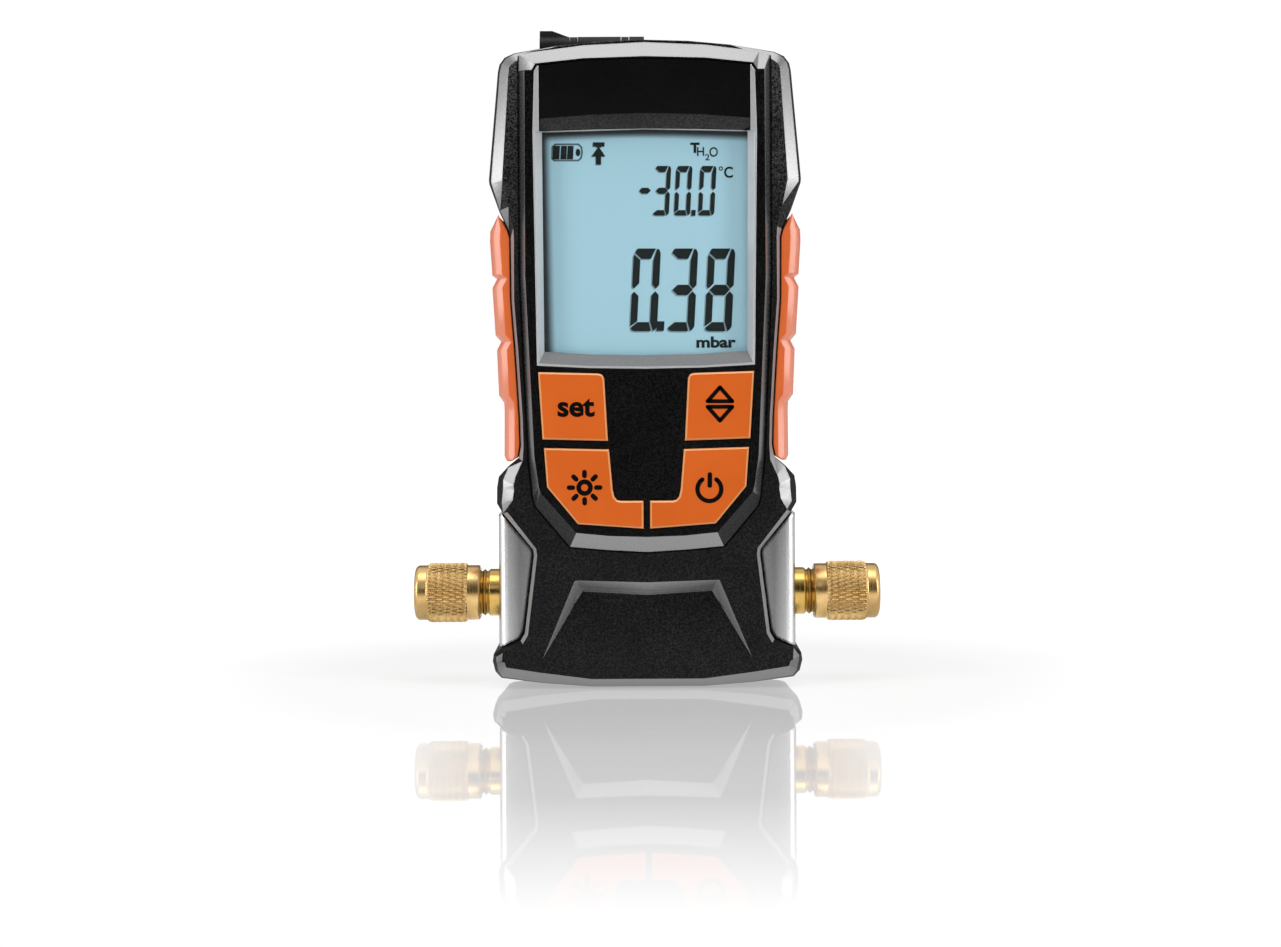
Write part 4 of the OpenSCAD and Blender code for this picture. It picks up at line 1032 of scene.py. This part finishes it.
def knurled_cap(side_name, side):
    """A cap with rounded collars and a diamond knurl, on the solid's own sizes."""
    node = side_name + "_cap"
    low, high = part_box(node)
    mouth, end = sorted((abs(low.x), abs(high.x)))
    radius = (high.z - low.z) / 2
    first, last = mouth + COLLAR_LEN, end - COLLAR_LEN
    rows = cap_section(mouth, end, radius)
    mesh = turned_mesh(node + "_knurled", rows, first, side, (low.z + high.z) / 2)
    mesh.materials.append(BRASS)
    for p in mesh.polygons:
        along = [abs(mesh.vertices[v].co.x) for v in p.vertices]
        on_knurl = first - KNURL_SLACK < min(along) and max(along) < last + KNURL_SLACK
        p.use_smooth = not on_knurl
    obj = in_scene(node + "_knurled", mesh, node)
    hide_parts(node)


def make_pieces():
    finish_nodes()
    for node, pick in SKINS.items():
        skin(node, pick)
    display_signs()
    set_sign()
    arrows_sign()
    light_sign()
    power_sign()
    knurled_cap("left", -1)
    knurled_cap("right", 1)


make_pieces()


# Studio

# Lamps: name, place, aim, width, height, radiance
SOFTBOXES = (
    ("softbox_left", (-0.88, -0.50, 0.16), (0, 0, 0.08), 0.26, 1.1, 6.0),
    ("softbox_right", (0.88, -0.50, 0.16), (0, 0, 0.08), 0.26, 1.1, 6.0),
    ("softbox_top", (0.0, -0.22, 1.1), (0, 0, 0.1), 1.2, 0.60, 2.3),
    ("softbox_front", (-0.30, -1.25, 0.75), (0, 0, 0.08), 0.4, 0.4, 1.2),
)
WHITE = (1, 1, 1)

# Each ramp below holds its start and end, and the value at each

# World, over the Y of the direction: dark flags in front, and between the white tent and the backdrop
FRONT_FLAG = (-0.85, -0.40, 0.015, 1.0)
BACK_FLAG = (0.60, 0.85, 1.0, 0.05)
BACKDROP = (0.93, 0.965, 0, 1)
# Strength of the world for light that isn't seen, mirrored or let through
ROOM_LIGHT = 0.45

# Floor: half its size, its height, its paint, and the share of the paint's brightness that the camera sees
FLOOR_HALF = 8.0
FLOOR_Z = -0.1 * MM
FLOOR_DARK, FLOOR_LIGHT = (0.59, 0.59, 0.59), (0.61, 0.61, 0.61)
FLOOR_DIM = 0.45
# Its own light to the camera, over the distance from the middle and over Y
GLOW_ROUND = (0.08, 0.26, 0.71, 1.0)
GLOW_BACK = (-0.10, 0.0, 0.74, 1.0)
# Its own light to what mirrors it, over Y, and how much of that is taken away by the caps, over the
# distance aside and over Y
SHINE_BACK = (-0.30, -0.06, 0.05, 0.95)
CAPS_ASIDE = (0.036, 0.046, 0, 0.75)
CAPS_BACK = (-0.06, -0.02, 0, 1)
# Its mirror: fades aside, behind the object, and towards the camera, and gets weaker away from the object
MIRROR_ASIDE = (0.030, 0.060, 1, 0)
MIRROR_BEHIND = (0.03, 0.06, 1, 0)
MIRROR_FADE = (-0.240, -0.150, 0, 1)
MIRROR_WEIGHT = (-0.150, -0.050, 0.38, 0.47)
MIRROR_ROUGH = 0.02


def softbox(name, place, aim, width, height, radiance):
    data = bpy.data.lights.new(name, "AREA")
    data.shape = "RECTANGLE"
    data.size = width
    data.size_y = height
    data.energy = radiance * math.pi * width * height
    obj = bpy.data.objects.new(name, data)
    bpy.context.scene.collection.objects.link(obj)
    obj.location = place
    obj.rotation_mode = "QUATERNION"
    obj.rotation_quaternion = (Vector(aim) - Vector(place)).to_track_quat("-Z", "Y")
    obj.visible_camera = False


def background(tree, strength):
    return add(tree, "ShaderNodeBackground", {"Color": WHITE, "Strength": strength}).outputs[0]


def mixed(tree, fac, a, b):
    """A surface between two."""
    return add(tree, "ShaderNodeMixShader", {0: fac, 1: a, 2: b}).outputs[0]


def make_world():
    """White to the camera, and to gloss a white tent and backdrop with dark flags."""
    world = bpy.data.worlds.new("studio")
    bpy.context.scene.world = world
    world.use_nodes = True
    tree = world.node_tree
    tree.nodes.clear()
    ray = add(tree, "ShaderNodeLightPath").outputs
    y = axes(tree, coordinates(tree, "Generated"))["Y"]
    sides = times(tree, ramp(tree, y, *FRONT_FLAG), ramp(tree, y, *BACK_FLAG))
    tent = maths(tree, "MAXIMUM", sides, ramp(tree, y, *BACKDROP))
    shiny = maths(tree, "MAXIMUM", ray["Is Glossy Ray"], ray["Is Transmission Ray"])
    unseen = mixed(tree, shiny, background(tree, ROOM_LIGHT), background(tree, tent))
    whole = mixed(tree, ray["Is Camera Ray"], unseen, background(tree, 1.0))
    add(tree, "ShaderNodeOutputWorld", {"Surface": whole})


def floor_material():
    """White paint that keeps the shadow, with light of its own and, in front, a fading reflection."""
    m = bpy.data.materials.new("floor_white")
    m.use_nodes = True
    tree = m.node_tree
    tree.nodes.clear()
    ray = add(tree, "ShaderNodeLightPath").outputs
    at = coordinates(tree)
    y = axes(tree, at)["Y"]
    aside = maths(tree, "ABSOLUTE", axes(tree, at)["X"])
    away = add(tree, "ShaderNodeVectorMath", {0: at}, operation="LENGTH").outputs["Value"]

    paint = mix(tree, noise(tree, scale=30, detail=2.0), FLOOR_DARK, FLOOR_LIGHT)
    dimmed = scaled(tree, paint, ramp(tree, ray["Is Camera Ray"], 0, 1, 1, FLOOR_DIM))
    matt = add(tree, "ShaderNodeBsdfDiffuse", {"Color": dimmed})

    level = maths(tree, "MINIMUM", ramp(tree, away, *GLOW_ROUND), ramp(tree, y, *GLOW_BACK))
    seen = times(tree, ray["Is Camera Ray"], level)
    by_caps = times(tree, ramp(tree, aside, *CAPS_ASIDE), ramp(tree, y, *CAPS_BACK))
    bright = times(tree, ramp(tree, y, *SHINE_BACK), ramp(tree, by_caps, 0, 1, 1, 0))
    mirrored = times(tree, ray["Is Glossy Ray"], bright)
    light = maths(tree, "MAXIMUM", seen, mirrored)
    glow = add(tree, "ShaderNodeEmission", {"Color": WHITE, "Strength": light})
    paper = add(tree, "ShaderNodeAddShader", {0: matt.outputs[0], 1: glow.outputs[0]})

    mirror = add(tree, "ShaderNodeBsdfGlossy", {"Color": WHITE, "Roughness": MIRROR_ROUGH})
    strip = times(tree, ramp(tree, aside, *MIRROR_ASIDE), ramp(tree, y, *MIRROR_BEHIND))
    near = times(tree, ramp(tree, y, *MIRROR_FADE), ramp(tree, y, *MIRROR_WEIGHT))
    weight = times(tree, times(tree, strip, near), ray["Is Camera Ray"])
    surface = mixed(tree, weight, paper.outputs[0], mirror.outputs[0])
    add(tree, "ShaderNodeOutputMaterial", {"Surface": surface})
    return m


def make_floor():
    corners = [(x * FLOOR_HALF, y * FLOOR_HALF, FLOOR_Z) for x, y in ((-1, -1), (1, -1), (1, 1), (-1, 1))]
    mesh = bpy.data.meshes.new("floor")
    mesh.from_pydata(corners, [], [(0, 1, 2, 3)])
    mesh.materials.append(floor_material())
    obj = bpy.data.objects.new("floor", mesh)
    bpy.context.scene.collection.objects.link(obj)


for lamp in SOFTBOXES:
    softbox(*lamp)
make_world()
make_floor()
bpy.context.scene.view_settings.view_transform = "Standard"
